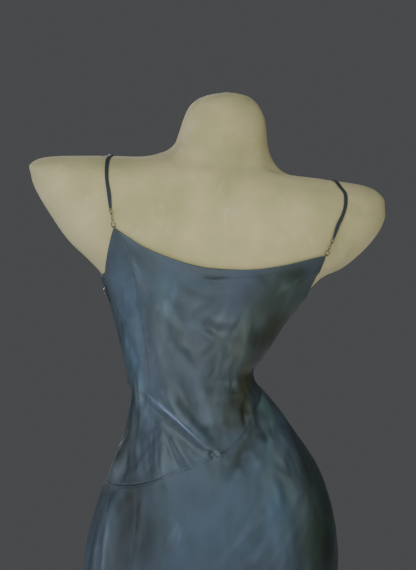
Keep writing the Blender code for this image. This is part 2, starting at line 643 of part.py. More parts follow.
# ---------------------------------------------------------------- zip slider and pull
def build_zip():
    """Slider on the left seam; its frame is X down the seam, Y round the figure, Z out."""
    here, down, out = dress_frame(SLIDER_LEVEL, at_column(ZIP_SEAM, SLIDER_LEVEL, 1, 0))
    seat = here + out * FIT_GAP
    frame = frame_matrix(seat, down, out.cross(down), out)

    def block(name, size, middle):
        bm = bmesh.new()
        bmesh.ops.create_cube(bm, size=1.0)
        bmesh.ops.scale(bm, vec=size, verts=bm.verts)
        made = new_object(name, mesh_from(bm, name), GOLD, 30)
        made.matrix_world = frame @ Matrix.Translation(middle)
        return made

    def as_tool(obj):
        PARTS.objects.unlink(obj)
        TOOLS.objects.link(obj)
        obj.hide_render = True
        obj.display_type = "WIRE"

    def boolean(obj, tool, operation):
        as_tool(tool)
        step = obj.modifiers.new(operation.lower(), "BOOLEAN")
        step.operation = operation
        step.object = tool

    slider = block("zip_slider", (SLIDER_LENGTH, SLIDER_WIDTH, SLIDER_THICK),
                   (0, 0, SLIDER_THICK / 2))
    bail = block("bail_block", (BAIL_LENGTH, BAIL_WIDTH, BAIL_HEIGHT + SLIDER_THICK / 2),
                 (0, 0, (SLIDER_THICK * 1.5 + BAIL_HEIGHT) / 2))
    bm = bmesh.new()
    bmesh.ops.create_cone(bm, cap_ends=True, segments=16, radius1=BAIL_HOLE_RADIUS,
                          radius2=BAIL_HOLE_RADIUS, depth=BAIL_WIDTH * 3)
    bore = new_object("bail_bore", mesh_from(bm, "bail_bore"), GOLD)
    pivot = Vector((0, 0, SLIDER_THICK + PIVOT_HEIGHT))
    bore.matrix_world = frame @ Matrix.Translation(pivot) @ Matrix.Rotation(math.pi / 2, 4, "X")
    boolean(slider, bail, "UNION")
    boolean(slider, bore, "DIFFERENCE")

    pull_middle = Vector(((PULL_LENGTH - PULL_BAR) / 2, 0, 0))
    pull = block("zip_pull", (PULL_LENGTH, PULL_WIDTH, PULL_THICK), pivot)
    pull.data.transform(Matrix.Translation(pull_middle))
    eye = block("pull_eye", (PULL_EYE_LENGTH, PULL_EYE_WIDTH, PULL_THICK * 3),
                pivot + Vector((PULL_BAR / 2 + PULL_EYE_LENGTH / 2, 0, 0)))
    boolean(pull, eye, "DIFFERENCE")


clear_scene()
PARTS = bpy.data.collections.new("mermaid_dress_on_form")
TOOLS = bpy.data.collections.new("cutters")
for group in (PARTS, TOOLS):
    bpy.context.scene.collection.children.link(group)
build_bodice()
build_skirt()
build_stand()
build_straps(build_form())
build_zip()
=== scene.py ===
"""Looks of the satin mermaid dress on its limbless dress form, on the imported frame.

Metres, +Z up, in the same places as the part. The dress faces -Y and +X is the wearer's left.
Places on the dress are an angle round the figure in degrees (0 at the wearer's left, 90 at the
back, 180 at the wearer's right, 270 at the front) and a level, the height of that section's
centre. Cloth is a thin shell: its outer face is worked out here, its wall is a modifier.
"""
import math
from collections import namedtuple

import bmesh
import bpy
import numpy as np
from mathutils import Matrix, Vector
from mathutils.bvhtree import BVHTree


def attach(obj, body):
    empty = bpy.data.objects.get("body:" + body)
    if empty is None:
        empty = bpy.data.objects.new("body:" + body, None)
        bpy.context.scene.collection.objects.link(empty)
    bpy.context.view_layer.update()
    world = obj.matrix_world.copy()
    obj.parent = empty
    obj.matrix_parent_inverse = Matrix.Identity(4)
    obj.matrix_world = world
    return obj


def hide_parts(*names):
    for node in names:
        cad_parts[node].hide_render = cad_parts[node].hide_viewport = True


# ---------------------------------------------------------------- sizes, metres
WALL = 0.0010                # cloth, doubled at its edges
SEAM_SLIT = 0.00012          # between two panels at a seam
FORM_BOTTOM = 0.700
FORM_EDGE_RADIUS = 0.018
FORM_INSET = 0.0022          # how far the form lies inside the figure where the dress covers it
INSET_FROM, INSET_TO = 1.300, 1.245             # levels over which it comes in
HIDDEN_INSET = 0.0030        # and further in where the dress hides it
HIDDEN_FROM, HIDDEN_TO = 1.200, 1.150
COVER_CLEARANCE = 0.0006     # least room between the cloth and the form
FLOOR_SOFTNESS = 0.00025     # how softly a fold stops at that
FIT_GAP = 0.0003             # between pieces that touch on the real one
NECK_PASSES = 90             # smoothing passes where the form's neck meets its shoulders
NECK_TURN, NECK_FADE = (1.325, 1.445), 0.03     # the levels that they ease, and how gently
NECK_FACING, FACING_FADE = 0.45, 0.40           # only where it faces back or front so far
FORM_COLUMNS, FORM_FOOT_RINGS = 200, 9
FORM_RINGS = ((0.15, 30), (4, 90), (16, 60))    # row of FIGURE that they start at, how many
FORM_GIRTH = 0.9             # of the cover's own map, round the form
FORM_SEAM_RUN = (1.476, 1.222, 260)             # levels of its ends, and its steps
FORM_SEAM = ((-1.474, -1.410, -1.3175, -1.238, -1.220),        # the form's centre-back seam:
             (-0.0384, -0.0331, -0.0172, -0.0067, -0.0050))    # levels, negated, and x
SEAM_RIDGE = (0.0013, 0.0007)                   # its width and height
BASE_HEIGHT = 0.014
BASE_OUTLINE = (             # radius and height, from the top to the floor
    (0.020, 0.0140), (0.060, 0.0140), (0.120, 0.0134), (0.162, 0.0128), (0.1665, 0.0118),
    (0.1692, 0.0090), (0.170, 0.0060), (0.170, 0.0015), (0.1685, 0.0),
)
POLE_RADIUS = 0.016
COLLAR_OUTLINE = (           # of the pole, above its foot
    (0.016, 0.034), (0.0182, 0.032), (0.0182, 0.004), (0.0202, 0.0),
)

FIGURE = np.array((
    # height  centre_x half_width tilt  back   front  square
    (1.4890, -0.023, 0.001,   0.0, 0.001, 0.001, 2.00),    # top of the neck cap
    (1.4860, -0.022, 0.022,   0.0, 0.013, 0.024, 2.00),
    (1.4800, -0.019, 0.039,  -1.0, 0.026, 0.040, 2.00),
    (1.4680, -0.018, 0.052,  -1.0, 0.037, 0.053, 2.10),
    (1.4490, -0.018, 0.061,  -1.0, 0.044, 0.060, 2.10),
    (1.4280, -0.016, 0.066,  -1.0, 0.048, 0.061, 2.10),
    (1.4080, -0.014, 0.071,   2.0, 0.053, 0.061, 2.00),    # root of the neck
    (1.3910, -0.011, 0.084,   6.0, 0.058, 0.060, 1.70),
    (1.3790, -0.005, 0.112,   7.0, 0.062, 0.058, 1.45),    # slope of the shoulders
    (1.3760, -0.001, 0.170,   6.0, 0.066, 0.060, 1.35),
    (1.3700,  0.007, 0.240,   5.3, 0.071, 0.064, 1.45),
    (1.3570,  0.008, 0.266,   5.4, 0.078, 0.071, 1.90),
    (1.3400,  0.006, 0.268,   5.7, 0.084, 0.077, 2.20),    # shoulder caps
    (1.3190,  0.003, 0.263,   5.1, 0.090, 0.084, 2.40),
    (1.2880, -0.001, 0.245,   4.1, 0.096, 0.092, 2.40),
    (1.2570, -0.003, 0.222,   2.8, 0.098, 0.098, 2.40),
    (1.2310, -0.005, 0.193,   1.9, 0.097, 0.102, 2.35),
    (1.2120,  0.001, 0.167,   1.0, 0.095, 0.104, 2.30),    # underarm
    (1.1800,  0.009, 0.146,   0.6, 0.091, 0.104, 2.20),
    (1.1500,  0.015, 0.129,  -1.0, 0.086, 0.100, 2.15),
    (1.1130,  0.022, 0.113,  -1.5, 0.081, 0.094, 2.10),
    (1.0810,  0.028, 0.099,  -3.0, 0.078, 0.090, 2.10),
    (1.0510,  0.031, 0.089,  -9.5, 0.078, 0.091, 2.05),    # waist
    (1.0280,  0.026, 0.098, -10.5, 0.083, 0.095, 2.05),
    (0.9980,  0.016, 0.113,  -8.0, 0.092, 0.100, 2.05),
    (0.9650,  0.009, 0.131,  -5.5, 0.102, 0.104, 2.10),
    (0.9240,  0.003, 0.153,  -5.0, 0.113, 0.107, 2.15),
    (0.8860,  0.001, 0.169,  -4.3, 0.119, 0.108, 2.20),
    (0.8450,  0.001, 0.181,  -3.8, 0.121, 0.108, 2.20),
    (0.7990,  0.002, 0.188,  -3.0, 0.118, 0.107, 2.20),    # hip
    (0.7500,  0.002, 0.189,  -2.0, 0.113, 0.105, 2.20),
    (0.6900,  0.002, 0.182,  -1.0, 0.107, 0.102, 2.15),
    (0.6000,  0.001, 0.166,   0.0, 0.099, 0.097, 2.10),    # below here only the skirt
    (0.5000,  0.000, 0.155,   0.0, 0.097, 0.094, 2.00),    # knee, where the flare starts
    (0.4100,  0.000, 0.162,   0.0, 0.110, 0.100, 2.00),
    (0.3100,  0.000, 0.200,   0.0, 0.155, 0.135, 2.00),
    (0.2000,  0.000, 0.270,   0.0, 0.240, 0.200, 2.00),
    (0.1000,  0.000, 0.350,   0.0, 0.335, 0.275, 2.00),
    (0.0120,  0.000, 0.430,   0.0, 0.430, 0.345, 2.00),    # hem
))
HEIGHT, CENTRE_X, HALF_WIDTH, TILT, BACK, FRONT, SQUARE = range(7)

Bust = namedtuple("Bust", "level tall_above tall_below centre_x plateau fade rise")
BUST = Bust(1.165, 0.055, 0.050, 0.012, 0.074, 0.050, 0.030)

EASE = (                     # level, and the cloth's outer face out from the figure
    # level  side    back    front
    (1.30, 0.0036, 0.0036, 0.0036),
    (1.16, 0.0036, 0.0045, 0.0036),
    (1.06, 0.0036, 0.0090, 0.0070),      # the cloth spans the small of the back
    (0.97, 0.0036, 0.0060, 0.0060),
    (0.86, 0.0036, 0.0040, 0.0050),
    (0.70, 0.0036, 0.0040, 0.0048),
    (0.40, 0.0036, 0.0040, 0.0044),
    (0.00, 0.0036, 0.0040, 0.0040),
)
SLACK = (                    # level, and the height of the soft unevenness
    # level  back    front
    (1.28, 0.0006, 0.0005),
    (1.20, 0.0012, 0.0008),
    (1.12, 0.0017, 0.0013),
    (1.05, 0.0016, 0.0018),
    (0.97, 0.0015, 0.0015),
    (0.90, 0.0011, 0.0011),
    (0.70, 0.0013, 0.0013),
    (0.40, 0.0016, 0.0016),
    (0.00, 0.0030, 0.0030),
)
SLACK_WAVES = (              # seed, length and lean: broad, middling, small, patchy, dents
    (3, 0.085, (0.5, 0.1, 0.9)), (11, 0.036, (-0.8, 0.1, 0.75)), (23, 0.014, (-0.5, 0.0, 0.9)),
    (31, 0.12, (0.2, 0, 1)), (41, 0.030, (-0.7, 0, 0.8)),
)

# Edges and seams of the cloth: angle and level
NECKLINE_BACK = ((56.5, 1.2780), (61.0, 1.2672), (67.0, 1.2530), (75.5, 1.2398), (85.5, 1.2298),
                 (94.5, 1.2269), (106.0, 1.2286), (118.5, 1.2374), (130.5, 1.2500),
                 (135.0, 1.2530))
NECKLINE_FRONT = ((244.0, 1.238), (251.0, 1.222), (262.0, 1.212), (274.0, 1.212),
                  (286.0, 1.227), (296.0, 1.255))
ARMHOLE_LEFT_BACK = ((18.0, 1.2135), (25.0, 1.217), (38.0, 1.2335), (49.0, 1.254),
                     (56.5, 1.2780))
ARMHOLE_LEFT_FRONT = ((296.0, 1.255), (312.0, 1.226), (336.0, 1.208), (360.0, 1.2065),
                      (378.0, 1.2135))
ARMHOLE_RIGHT_BACK = ((135.0, 1.253), (141.0, 1.230), (155.0, 1.211), (166.0, 1.191),
                      (180.0, 1.180))
ARMHOLE_RIGHT_FRONT = ((180.0, 1.180), (200.0, 1.186), (224.0, 1.207), (244.0, 1.238))
PRINCESS_SEAM = ((56.5, 1.2780), (58.5, 1.258), (54.5, 1.232), (52.0, 1.215), (50.5, 1.190),
                 (50.5, 1.160), (51.0, 1.130), (51.5, 1.076), (51.5, 1.009), (54.0, 0.960),
                 (58.0, 0.920))
ZIP_SEAM = ((18.0, 1.2135), (13.0, 1.195), (9.0, 1.165), (4.0, 1.110), (2.0, 1.060),
            (6.0, 1.015), (24.0, 0.974), (36.0, 0.941), (42.5, 0.914))
SKIRT_SEAM_LEFT = ((42.5, 0.914), (47.0, 0.896), (51.5, 0.851), (54.0, 0.790), (54.0, 0.700),
                   (50.0, 0.560), (48.0, 0.400), (48.0, 0.012))
HIP_SEAM = ((-2.0, 0.9195), (20.0, 0.915), (42.5, 0.914), (58.0, 0.920), (70.0, 0.930),
            (80.5, 0.939), (95.5, 0.952), (104.0, 0.960), (112.0, 0.9705), (124.5, 0.9875),
            (137.0, 1.003), (158.0, 1.019), (180.0, 1.026), (205.0, 1.022), (240.0, 0.996),
            (270.0, 0.969), (300.0, 0.947), (330.0, 0.930), (358.0, 0.9195), (380.0, 0.915),
            (402.5, 0.914))
RIGHT_SIDE = 180.0
HEM_LEVEL = 0.012
BODICE_ROWS, SKIRT_ROWS = 192, 190
SKIRT_ROW_POWER = 1.45       # rows crowd towards the hips
CROWDING = 0.55              # of columns at the ends of their span

# Cloth beside a border: bumps (height, distance in, width), a doubled turning (its thickness
# and depth) and how high the stitching puckers it
BorderShape = namedtuple("BorderShape", "bumps doubled pucker", defaults=((0, 1), 0))
BORDERS = {
    "edge": BorderShape(((-0.0006, 0, 0.0009), (-0.0010, 0, 0.016)), (0.00022, 0.0135)),
    "hem": BorderShape(((-0.0006, 0, 0.0009), (-0.0003, 0.0150, 0.0012)), (0.0004, 0.0160)),
    "lap": BorderShape(((0.00034, 0.0008, 0.0009), (-0.00022, 0.0036, 0.0016))),
    "seam": BorderShape(((-0.00016, 0, 0.0009), (-0.00010, 0, 0.0045)), pucker=0.00013),
    "quiet": BorderShape(((-0.000056, 0, 0.0009), (-0.000035, 0, 0.0045)),
                         pucker=0.0000455),
}
PUCKER_PITCH, PUCKER_REACH = 0.0115, 0.0070
FOLD_SOFT = 0.0016           # how softly a turning steps down
CALM_REACH, CALM_LEAST = 0.03, 0.35             # slack dies down near a finished edge
HEM_DEPTH = 0.0150           # where the hem is stitched
STITCH_PROUD = 0.0001
STITCH = {"Pitch": 0.0036, "Length": 0.0027, "Thickness": 0.00036}

FLUTES = 9                   # hanging folds round the hem
FLUTE_DEPTH = 0.034
FLUTE_START = 0.470

# Creases listed for each face, in millimetres. A path is walked from its first point to its
# last, seen from outside; its points are a place across (x on the back and front, y on the
# sides), a height, and the share of the rise there. The widths are the crease's reach on its left
# and right hand. Shine is a painted highlight colour along the crest, which also polishes it.
Crease = namedtuple("Crease", "left_width right_width rise path shine", defaults=(0.0,))
CREASES = {"back": (
    # long ridge from the left waist to the hip seam: its body, its crest, and where it gathers
    (14, 6, 2.6, ((118, 1058, 0), (98, 1041, .8), (72, 1018, 1), (47, 997, 1), (22, 976, .8),
     (2, 961, .4), (-6, 955, 0))),
    (1.8, 1.6, 1.4, ((96, 1042, 0), (86, 1034, .5), (76, 1025.5, .9), (57, 1009, 1),
     (37, 992, .9), (28, 984, .4), (14, 973, 0)), 1),
    (9, 8, -2.6, ((90, 1020, 0), (66, 1000, .8), (42, 980, 1), (20, 962, .8), (6, 952, 0))),
    (6, 6, 3, ((-3, 962, 0), (-10.5, 956, 1), (-16, 951, 0))),
    (3.5, 3.5, -2.4, ((10, 962, 0), (2, 958, 1), (-3, 953, .8), (-6, 949, 0))),
    # second ridge above it, and the hollow between them
    (13, 6.5, 2.4, ((74, 1066, 0), (66, 1040, .7), (55, 1018, 1), (34, 993, 1), (12, 971, .8),
     (-6, 959, 0)), .05),
    (6, 6, -1.4, ((86, 1050, 0), (64, 1024, .8), (44, 1004, 1), (18, 979, .8), (0, 964, 0))),
    # fan of folds that leaves the seam on the left
    (6, 7, 2, ((60, 980, 0), (49, 963, .8), (36, 946, 1), (28, 936, .4))),
    (6, 5, -2, ((72, 990, 0), (63, 968, 1), (54, 946, .8), (48, 932, 0))),
    (9, 6, 2.4, ((74, 972, 0), (74, 950, .8), (73, 930, 1), (71, 916, .5))),
    (4, 6, -2.2, ((90, 1004, 0), (88.5, 975, 1), (88, 945, .9), (88, 922, .3))),
    (5, 6, -2.4, ((123, 1062, 0), (119.5, 1040, 1), (121.5, 1006, .8), (122, 972, 0))),
    (6, 4.5, 2, ((109, 1070, 0), (107.5, 1040, .9), (106, 1008, .8), (110, 975, 1),
     (110, 945, .9), (106, 922, 0))),
    (5, 5, -1.6, ((100, 996, 0), (96, 970, 1), (94, 940, 1), (92, 918, 0))),
    (8, 5, 3, ((138, 968, 0), (140, 950, .8), (143, 932, 1), (144, 920, .4))),
    (5, 8, -2.4, ((126, 980, 0), (128, 955, 1), (129, 932, .9), (129, 919, .4))),
    # folds below the right waist, on both sides of the seam
    (12, 10, -3.6, ((-60, 1010, 0), (-63, 988, .9), (-54, 965, 1), (-43, 946, .4))),
    (7, 6, 2.2, ((-74, 1030, 0), (-78, 1008, 1), (-83, 986, .9), (-88, 968, 0))),
    (5, 6, -2, ((-66, 1042, 0), (-68, 1015, 1), (-72, 990, .8), (-74, 972, 0))),
    (8, 8, -3, ((-45, 962, 0), (-41, 950, 1), (-33, 934, .9), (-26, 918, 0))),
    (12, 9, 1.8, ((-56, 970, 0), (-66, 950, .9), (-79, 926, 1), (-96, 890, .5), (-105, 860, 0))),
    (10, 10, -1, ((-74, 976, 0), (-89, 950, 1), (-103, 918, .8), (-116, 870, 0))),
    (9, 10, 2.8, ((-94, 1014, 0), (-106, 1000, .8), (-120, 968, 1), (-134, 930, .5),
     (-142, 900, 0))),
    (8, 8, -2.2, ((-108, 1004, 0), (-122, 976, 1), (-138, 940, .8), (-148, 905, 0))),
    # slack of the small of the back, running down towards the right
    (10, 12, 2, ((84, 1118, 0), (80, 1098, .8), (75, 1070, 1), (72, 1050, 0))),
    (8, 11, -1.9, ((66, 1128, 0), (50, 1108, .9), (30, 1088, 1), (10, 1066, 0))),
    (6, 7, 1.3, ((72, 1078, 0), (68, 1100, 1), (52, 1112, .9), (36, 1108, 1), (26, 1090, 1),
     (12, 1066, 0))),
    (13, 13, -3, ((60, 1076, 0), (47, 1046, 1), (30, 1016, .9), (14, 990, 0))),
    (16, 13, 2.4, ((26, 1078, 0), (14, 1050, 1), (2, 1022, 1), (-8, 998, 0))),
    (5.5, 6.5, -1.2, ((6, 1143, 0), (-2, 1136, 1), (-14, 1124, 1), (-27, 1106, 0))),
    (7, 6, 1.2, ((16, 1140, 0), (6, 1130, 1), (-10, 1115, .9), (-24, 1098, 0))),
    (6, 7, 1.1, ((14, 1162, 0), (-2, 1152, 1), (-20, 1147, .9), (-36, 1150, 0))),
    (8, 7, -1.2, ((24, 1152, 0), (4, 1140, .9), (-20, 1134, .9), (-40, 1138, 0))),
    (11, 9, -2.8, ((-36, 1064, 0), (-32, 1040, 1), (-22, 1010, .9), (-12, 985, 0))),
    (3.5, 4.5, -2.4, ((-66, 1082, 0), (-61, 1062, .8), (-49, 1028, 1), (-50, 998, .7),
     (-53, 984, 0))),
    (12, 7, 2.2, ((-52, 1190, 0), (-50, 1140, .9), (-46, 1090, 1), (-42, 1040, .8),
     (-40, 1000, 0))),
    (8, 8, 2.2, ((74, 1182, 0), (71, 1166, 1), (64, 1150, .8), (52, 1136, 0))),
    (8, 10, -1.8, ((60, 1186, 0), (54, 1168, 1), (44, 1150, .8), (30, 1140, 0))),
    # pulls from the neckline's corners
    (6, 5, 1.6, ((128, 1262, 0), (119, 1232, .9), (112, 1190, 1), (107, 1150, 0))),
    (6, 7, -1.5, ((118, 1254, 0), (103, 1222, .9), (92, 1184, .8), (84, 1150, 0))),
    (9, 7, 2.2, ((-166, 1232, 0), (-142, 1214, .8), (-114, 1198, 1), (-88, 1180, 0))),
    (7, 9, -2.4, ((-160, 1216, 0), (-138, 1196, 1), (-112, 1172, .9), (-94, 1142, 0))),
    (7, 6, 1.8, ((-148, 1196, 0), (-128, 1170, 1), (-112, 1138, .8), (-102, 1108, 0))),
    (3.4, 5, -1.8, ((16, 1214, 0), (4, 1210.8, .9), (-10, 1210.4, 1), (-26, 1213.5, 0))),
    (9, 9, 1.4, ((50, 1214, 0), (28, 1198, 1), (4, 1190, .9), (-24, 1192, 0))),
    # long soft folds and pressing marks on the skirt
    (16, 14, 2.6, ((-70, 930, 0), (-92, 870, .8), (-106, 800, 1), (-108, 700, .6),
     (-104, 600, 0))),
    (14, 14, -2.6, ((-96, 920, 0), (-122, 870, .9), (-134, 800, 1), (-136, 710, 0))),
    (18, 16, -2, ((-20, 900, 0), (-36, 840, 1), (-44, 760, .9), (-44, 660, 0))),
    (18, 18, 1.8, ((30, 900, 0), (24, 840, .9), (18, 760, 1), (14, 640, 0))),
    (14, 22, -5.8, ((110, 912, 0), (116, 885, .6), (120, 850, 1), (127, 780, 1), (126, 700, .5),
     (120, 620, 0))),
    (13, 12, 5, ((142, 905, 0), (150, 868, .8), (157, 810, 1), (158, 740, .8), (155, 650, 0))),
    (3.6, 3.6, .3, ((50, 862, 0), (54, 846, 1), (59, 824, 0)), .17),
    (3.6, 3.6, .3, ((44, 854, 0), (48, 838, 1), (53, 816, 0)), .2),
    (3.6, 3.6, .3, ((57, 852, 0), (62, 836, 1), (67, 818, 0)), .14),
), "front": (
    (10, 10, 3, ((118, 1048, 0), (94, 1034, .8), (58, 1012, 1), (20, 992, .8), (-6, 982, 0))),
    (10, 9, -2.4, ((112, 1030, 0), (84, 1012, 1), (48, 992, .9), (16, 976, 0))),
    (12, 10, 2.6, ((-40, 1082, 0), (-16, 1056, .9), (22, 1010, 1), (50, 968, .7), (64, 940, 0))),
    (10, 12, -2.2, ((-52, 1056, 0), (-26, 1026, 1), (4, 990, .9), (26, 954, 0))),
    (10, 9, 2, ((-58, 1020, 0), (-50, 996, 1), (-46, 965, .7), (-50, 940, 0))),
    (9, 9, -1.5, ((70, 1120, 0), (56, 1092, 1), (34, 1064, .8), (12, 1048, 0))),
    (9, 10, 1.5, ((-34, 1130, 0), (-30, 1098, 1), (-14, 1066, .8), (6, 1046, 0))),
    (9, 9, 1.3, ((112, 1236, 0), (98, 1214, .9), (80, 1186, 1), (66, 1160, 0))),
    (9, 8, -1.2, ((100, 1228, 0), (82, 1200, 1), (56, 1176, .8), (30, 1166, 0))),
    (9, 9, 1.2, ((-108, 1222, 0), (-88, 1202, 1), (-62, 1182, .9), (-32, 1172, 0))),
    (8, 9, -1.2, ((-58, 1204, 0), (-30, 1190, 1), (6, 1188, .9), (36, 1198, 0))),
    (12, 12, 2.8, ((-60, 962, 0), (-78, 930, .9), (-98, 880, 1), (-116, 830, 0))),
    (12, 12, -1.8, ((-34, 956, 0), (-52, 920, 1), (-70, 870, .9), (-84, 820, 0))),
    (16, 16, 1.6, ((50, 930, 0), (56, 860, 1), (60, 760, .9), (60, 640, 0))),
    (16, 14, -1.6, ((92, 910, 0), (104, 850, 1), (112, 760, .9), (110, 650, 0))),
    (16, 16, 1.5, ((-30, 880, 0), (-34, 800, 1), (-30, 720, .9), (-24, 620, 0))),
), "left": (
    (12, 12, -2.6, ((50, 905, 0), (44, 860, .8), (38, 790, 1), (36, 690, 0))),
    (8, 9, 1.8, ((-58, 1072, 0), (-30, 1060, 1), (4, 1052, .9), (36, 1054, 0))),
    (7, 8, -1.6, ((-50, 1050, 0), (-20, 1040, 1), (14, 1036, .8), (40, 1042, 0))),
    (8, 8, 1.2, ((-44, 1100, 0), (-20, 1090, 1), (10, 1086, 0))),
), "right": (
    (8, 8, 2, ((46, 1082, 0), (20, 1070, 1), (-16, 1064, .9), (-50, 1070, 0))),
    (8, 7, -1.8, ((44, 1064, 0), (16, 1052, 1), (-20, 1048, .9), (-48, 1054, 0))),
    (8, 8, 1.3, ((40, 1112, 0), (14, 1102, 1), (-18, 1098, 0))),
)}
CREASE_REACH = 2.6           # widths beyond which a crease has died away
HIGHLIGHT_NARROWER = 1.5         # the painted highlight is this much narrower than the crest that it is on

# Painted light and shade on the satin's back, with painted colour casts of the light: soft
# patches, each a place and its half sizes, in millimetres, its lean from upright in degrees (its
# top towards
# +X), how it multiplies red, green and blue, and a word of the names of the only panels it is on.
Tint = namedtuple("Tint", "across height wide tall lean red green blue only", defaults=("",))
PAINTED_LIGHT_PATCHES = [Tint(*np.array(row[:4]) / 1000, *row[4:]) for row in (
    # painted blue light on the side panel, painted highlights on the shoulder blades and small of
    # the back, painted dun shade on the right side
    (125, 1130, 26, 95, 0, 1.04, 1.15, 1.22),
    (120, 1075, 12, 34, 0, 1.05, 1.22, 1.28),
    (140, 1222, 14, 30, -20, 1.18, 1.22, 1.25),
    (98, 1222, 18, 36, -12, 1.3, 1.3, 1.32),
    (70, 1205, 22, 20, -40, 1.08, 1.22, 1.22),
    (78, 1160, 10, 58, 0, 1.38, 1.4, 1.38),
    (64, 1176, 7, 22, -18, 1.25, 1.38, 1.42),
    (44, 1160, 20, 34, 20, 1.24, 1.26, 1.26),
    (4, 1206, 34, 12, 0, .8, .88, .9),
    (18, 1172, 10, 15, 0, 1.24, 1.24, 1.22),
    (47, 1119, 7, 13, 0, 1.26, 1.24, 1.18),
    (-72, 1211, 10, 9, 0, .76, .76, .72),
    (-18, 1110, 18, 60, 0, 1.34, 1.32, 1.26),
    (-26, 1160, 14, 20, 0, 1.16, 1.16, 1.16),
    (-58, 1152, 16, 24, -10, 1.46, 1.52, 1.46),
    (-44, 1108, 14, 50, -6, 1.3, 1.24, 1.06),
    (-52, 1056, 12, 34, -8, 1.25, 1.12, .62),
    (-36, 1039, 7, 13, 0, .72, .68, .56),
    (-37, 1108, 7, 12, -8, 1.32, 1.28, 1.16),
    (0, 1036, 6, 13, 0, 1.34, 1.33, 1.26),
    (-85, 1128, 15, 40, -28, .74, .64, .46),
    (-112, 1190, 16, 8, -70, 1.2, 1.38, 1.34),
    (-100, 1180, 40, 50, -25, 1.02, 1, .79),
    (-126, 1214, 16, 10, -60, .8, .78, .64),
    # painted highlights and shade on the folds that leave the left of the hip seam
    (123, 962, 9, 26, -16, 1.58, 1.48, 1.36),
    (143.5, 921, 9, 25, -20, 2.45, 2.35, 2.28),
    (110, 1036, 4, 20, 4, 1.3, 1.28, 1.24),
    (118, 992, 5, 20, 0, 1.48, 1.46, 1.42),
    (110.5, 959, 4, 14, 0, 1.42, 1.4, 1.36),
    (126, 943, 4, 12, 0, .74, .76, .78),
    (107, 1038, 6, 26, 10, 1.4, 1.36, 1.3),
    (131, 955, 5, 12, -16, 1.4, 1.4, 1.36),
    (124, 1112, 10, 30, 0, 1.28, 1.3, 1.34),
    (119, 1037, 5.2, 22, 0, .55, .55, .56),
    (115, 990, 6, 22, 0, 1.22, 1.2, 1.12),
    (93.5, 945, 6.5, 34, 0, .78, .76, .74),
    (82.5, 957, 3.5, 18, 0, 1.28, 1.28, 1.28),
    (111, 906, 18, 13, 0, .76, .74, .7),
    (98, 1012, 5, 22, 24, 1.25, 1.25, 1.25),
    (78, 986, 7.5, 24, 2, .88, .88, .88),
    (73, 1125, 6, 60, 0, 1.22, 1.22, 1.22),
    (76, 930, 6, 16, -14, 1.22, 1.2, 1.24),
    # painted shade in the hollow round the slack that hangs over the waist and on the dun folds
    # beside it, with painted highlights between them
    (16, 996, 9, 40, 40, .64, .74, .74),
    (34, 1026, 7, 16, 30, .62, .68, .66),
    (3, 997, 13, 8, 40, .72, .76, .74),
    (3, 957.5, 4, 2.6, 40, .45, .5, .5),
    (-10, 955.5, 7.5, 5.5, 0, 1.45, 1.42, 1.38),
    (-4, 1012, 12, 18, 10, 1.2, 1.2, 1.16),
    (-24, 979, 17, 9, 0, .94, 1.04, 1.04, "satin_back"),
    (-30, 1012, 14, 26, -16, .86, .77, .58),
    (-44, 960, 8, 34, -28, .64, .64, .58),
    (-47, 943, 7, 10, -27, .66, .66, .62),
    (-59, 1001, 5, 12, 0, 1.36, 1.34, 1.2),
    (-45, 1014, 5.5, 20, 0, .62, .56, .4, "satin_back"),
    (-55, 1021, 4.5, 10, 12, 1.5, 1.5, 1.22, "satin_back"),
    (-76, 1028, 9, 19, 20, 2.15, 2.65, 2.2, "skirt"),
    (-85, 1001, 5.5, 13, 22, 1.65, 1.85, 1.85, "skirt"),
    (-79, 976, 5.5, 12, 16, .62, .64, .64, "skirt"),
    (-85, 942, 6, 14, 10, 1.36, 1.42, 1.46, "skirt"),
    (-112, 955, 7, 36, 20, 1.24, 1.3, 1.3, "skirt"),
    (-69, 966, 6, 12, -20, 1.32, 1.34, 1.3),
    (-81, 980, 6, 12, -16, .68, .68, .66),
    (-92, 938, 13, 38, -6, 1.5, 1.52, 1.46),
    (-103, 965, 8, 24, -12, 1.34, 1.38, 1.38),
    (-70, 932, 6, 10, -20, .8, .8, .8),
    # skirt: painted dun shade on the fold and a painted highlight on the strip on the left,
    # painted blue light in the middle and teal light on the right, painted shade on the flank
    (122, 872, 13, 40, -8, .74, .68, .62),
    (136, 800, 12, 60, -8, .78, .74, .7),
    (107, 842, 14, 62, 4, .6, .57, .52),
    (90, 850, 8, 50, 4, .82, .82, .82),
    (119, 784, 12, 28, -6, .68, .64, .6),
    (137, 874, 6, 14, -10, .64, .62, .58),
    (141, 907, 6, 10, -12, 1.38, 1.36, 1.32, "skirt"),
    (125, 889, 6, 10, -12, .68, .65, .6, "skirt"),
    (160, 866, 7, 26, -10, 1.45, 1.42, 1.4),
    (164, 810, 11, 66, -3, 1.44, 1.44, 1.48),
    (-20, 860, 95, 90, 0, .84, .97, 1.08),
    (-86, 975, 10, 48, -24, 1.4, 1.6, 1.62),
    (-90, 1008, 6, 26, -14, 1.4, 1.36, 1.2),
    (-106, 885, 18, 50, -10, 1.15, 1.22, 1.34),
    (-27, 824, 16, 34, 0, 1.2, 1.18, 1.18),
    (-84, 845, 28, 50, -6, 1.14, 1.16, 1.18),
    (-108, 846, 11, 50, -4, 1.36, 1.38, 1.4),
    (-160, 830, 20, 80, -8, .53, .62, .44),
    (-143, 850, 12, 90, 0, .84, .86, .7),
    (-64, 788, 16, 13, 0, .8, .8, .78),
    (-93, 898, 11, 30, 0, 1.1, 1.2, 1.42),
    (20, 893, 30, 20, 0, .88, .88, .88),
    (-173, 800, 12, 40, 0, .55, .52, .5),
)]
TINT_WANDER = 0.004          # how far a patch's edge strays, less on a small one
TINT_WAVES = ((51, 0.045, (0.2, 0.0, 1.0)), (53, 0.045, (0.2, 0.0, 1.0)))    # across and up
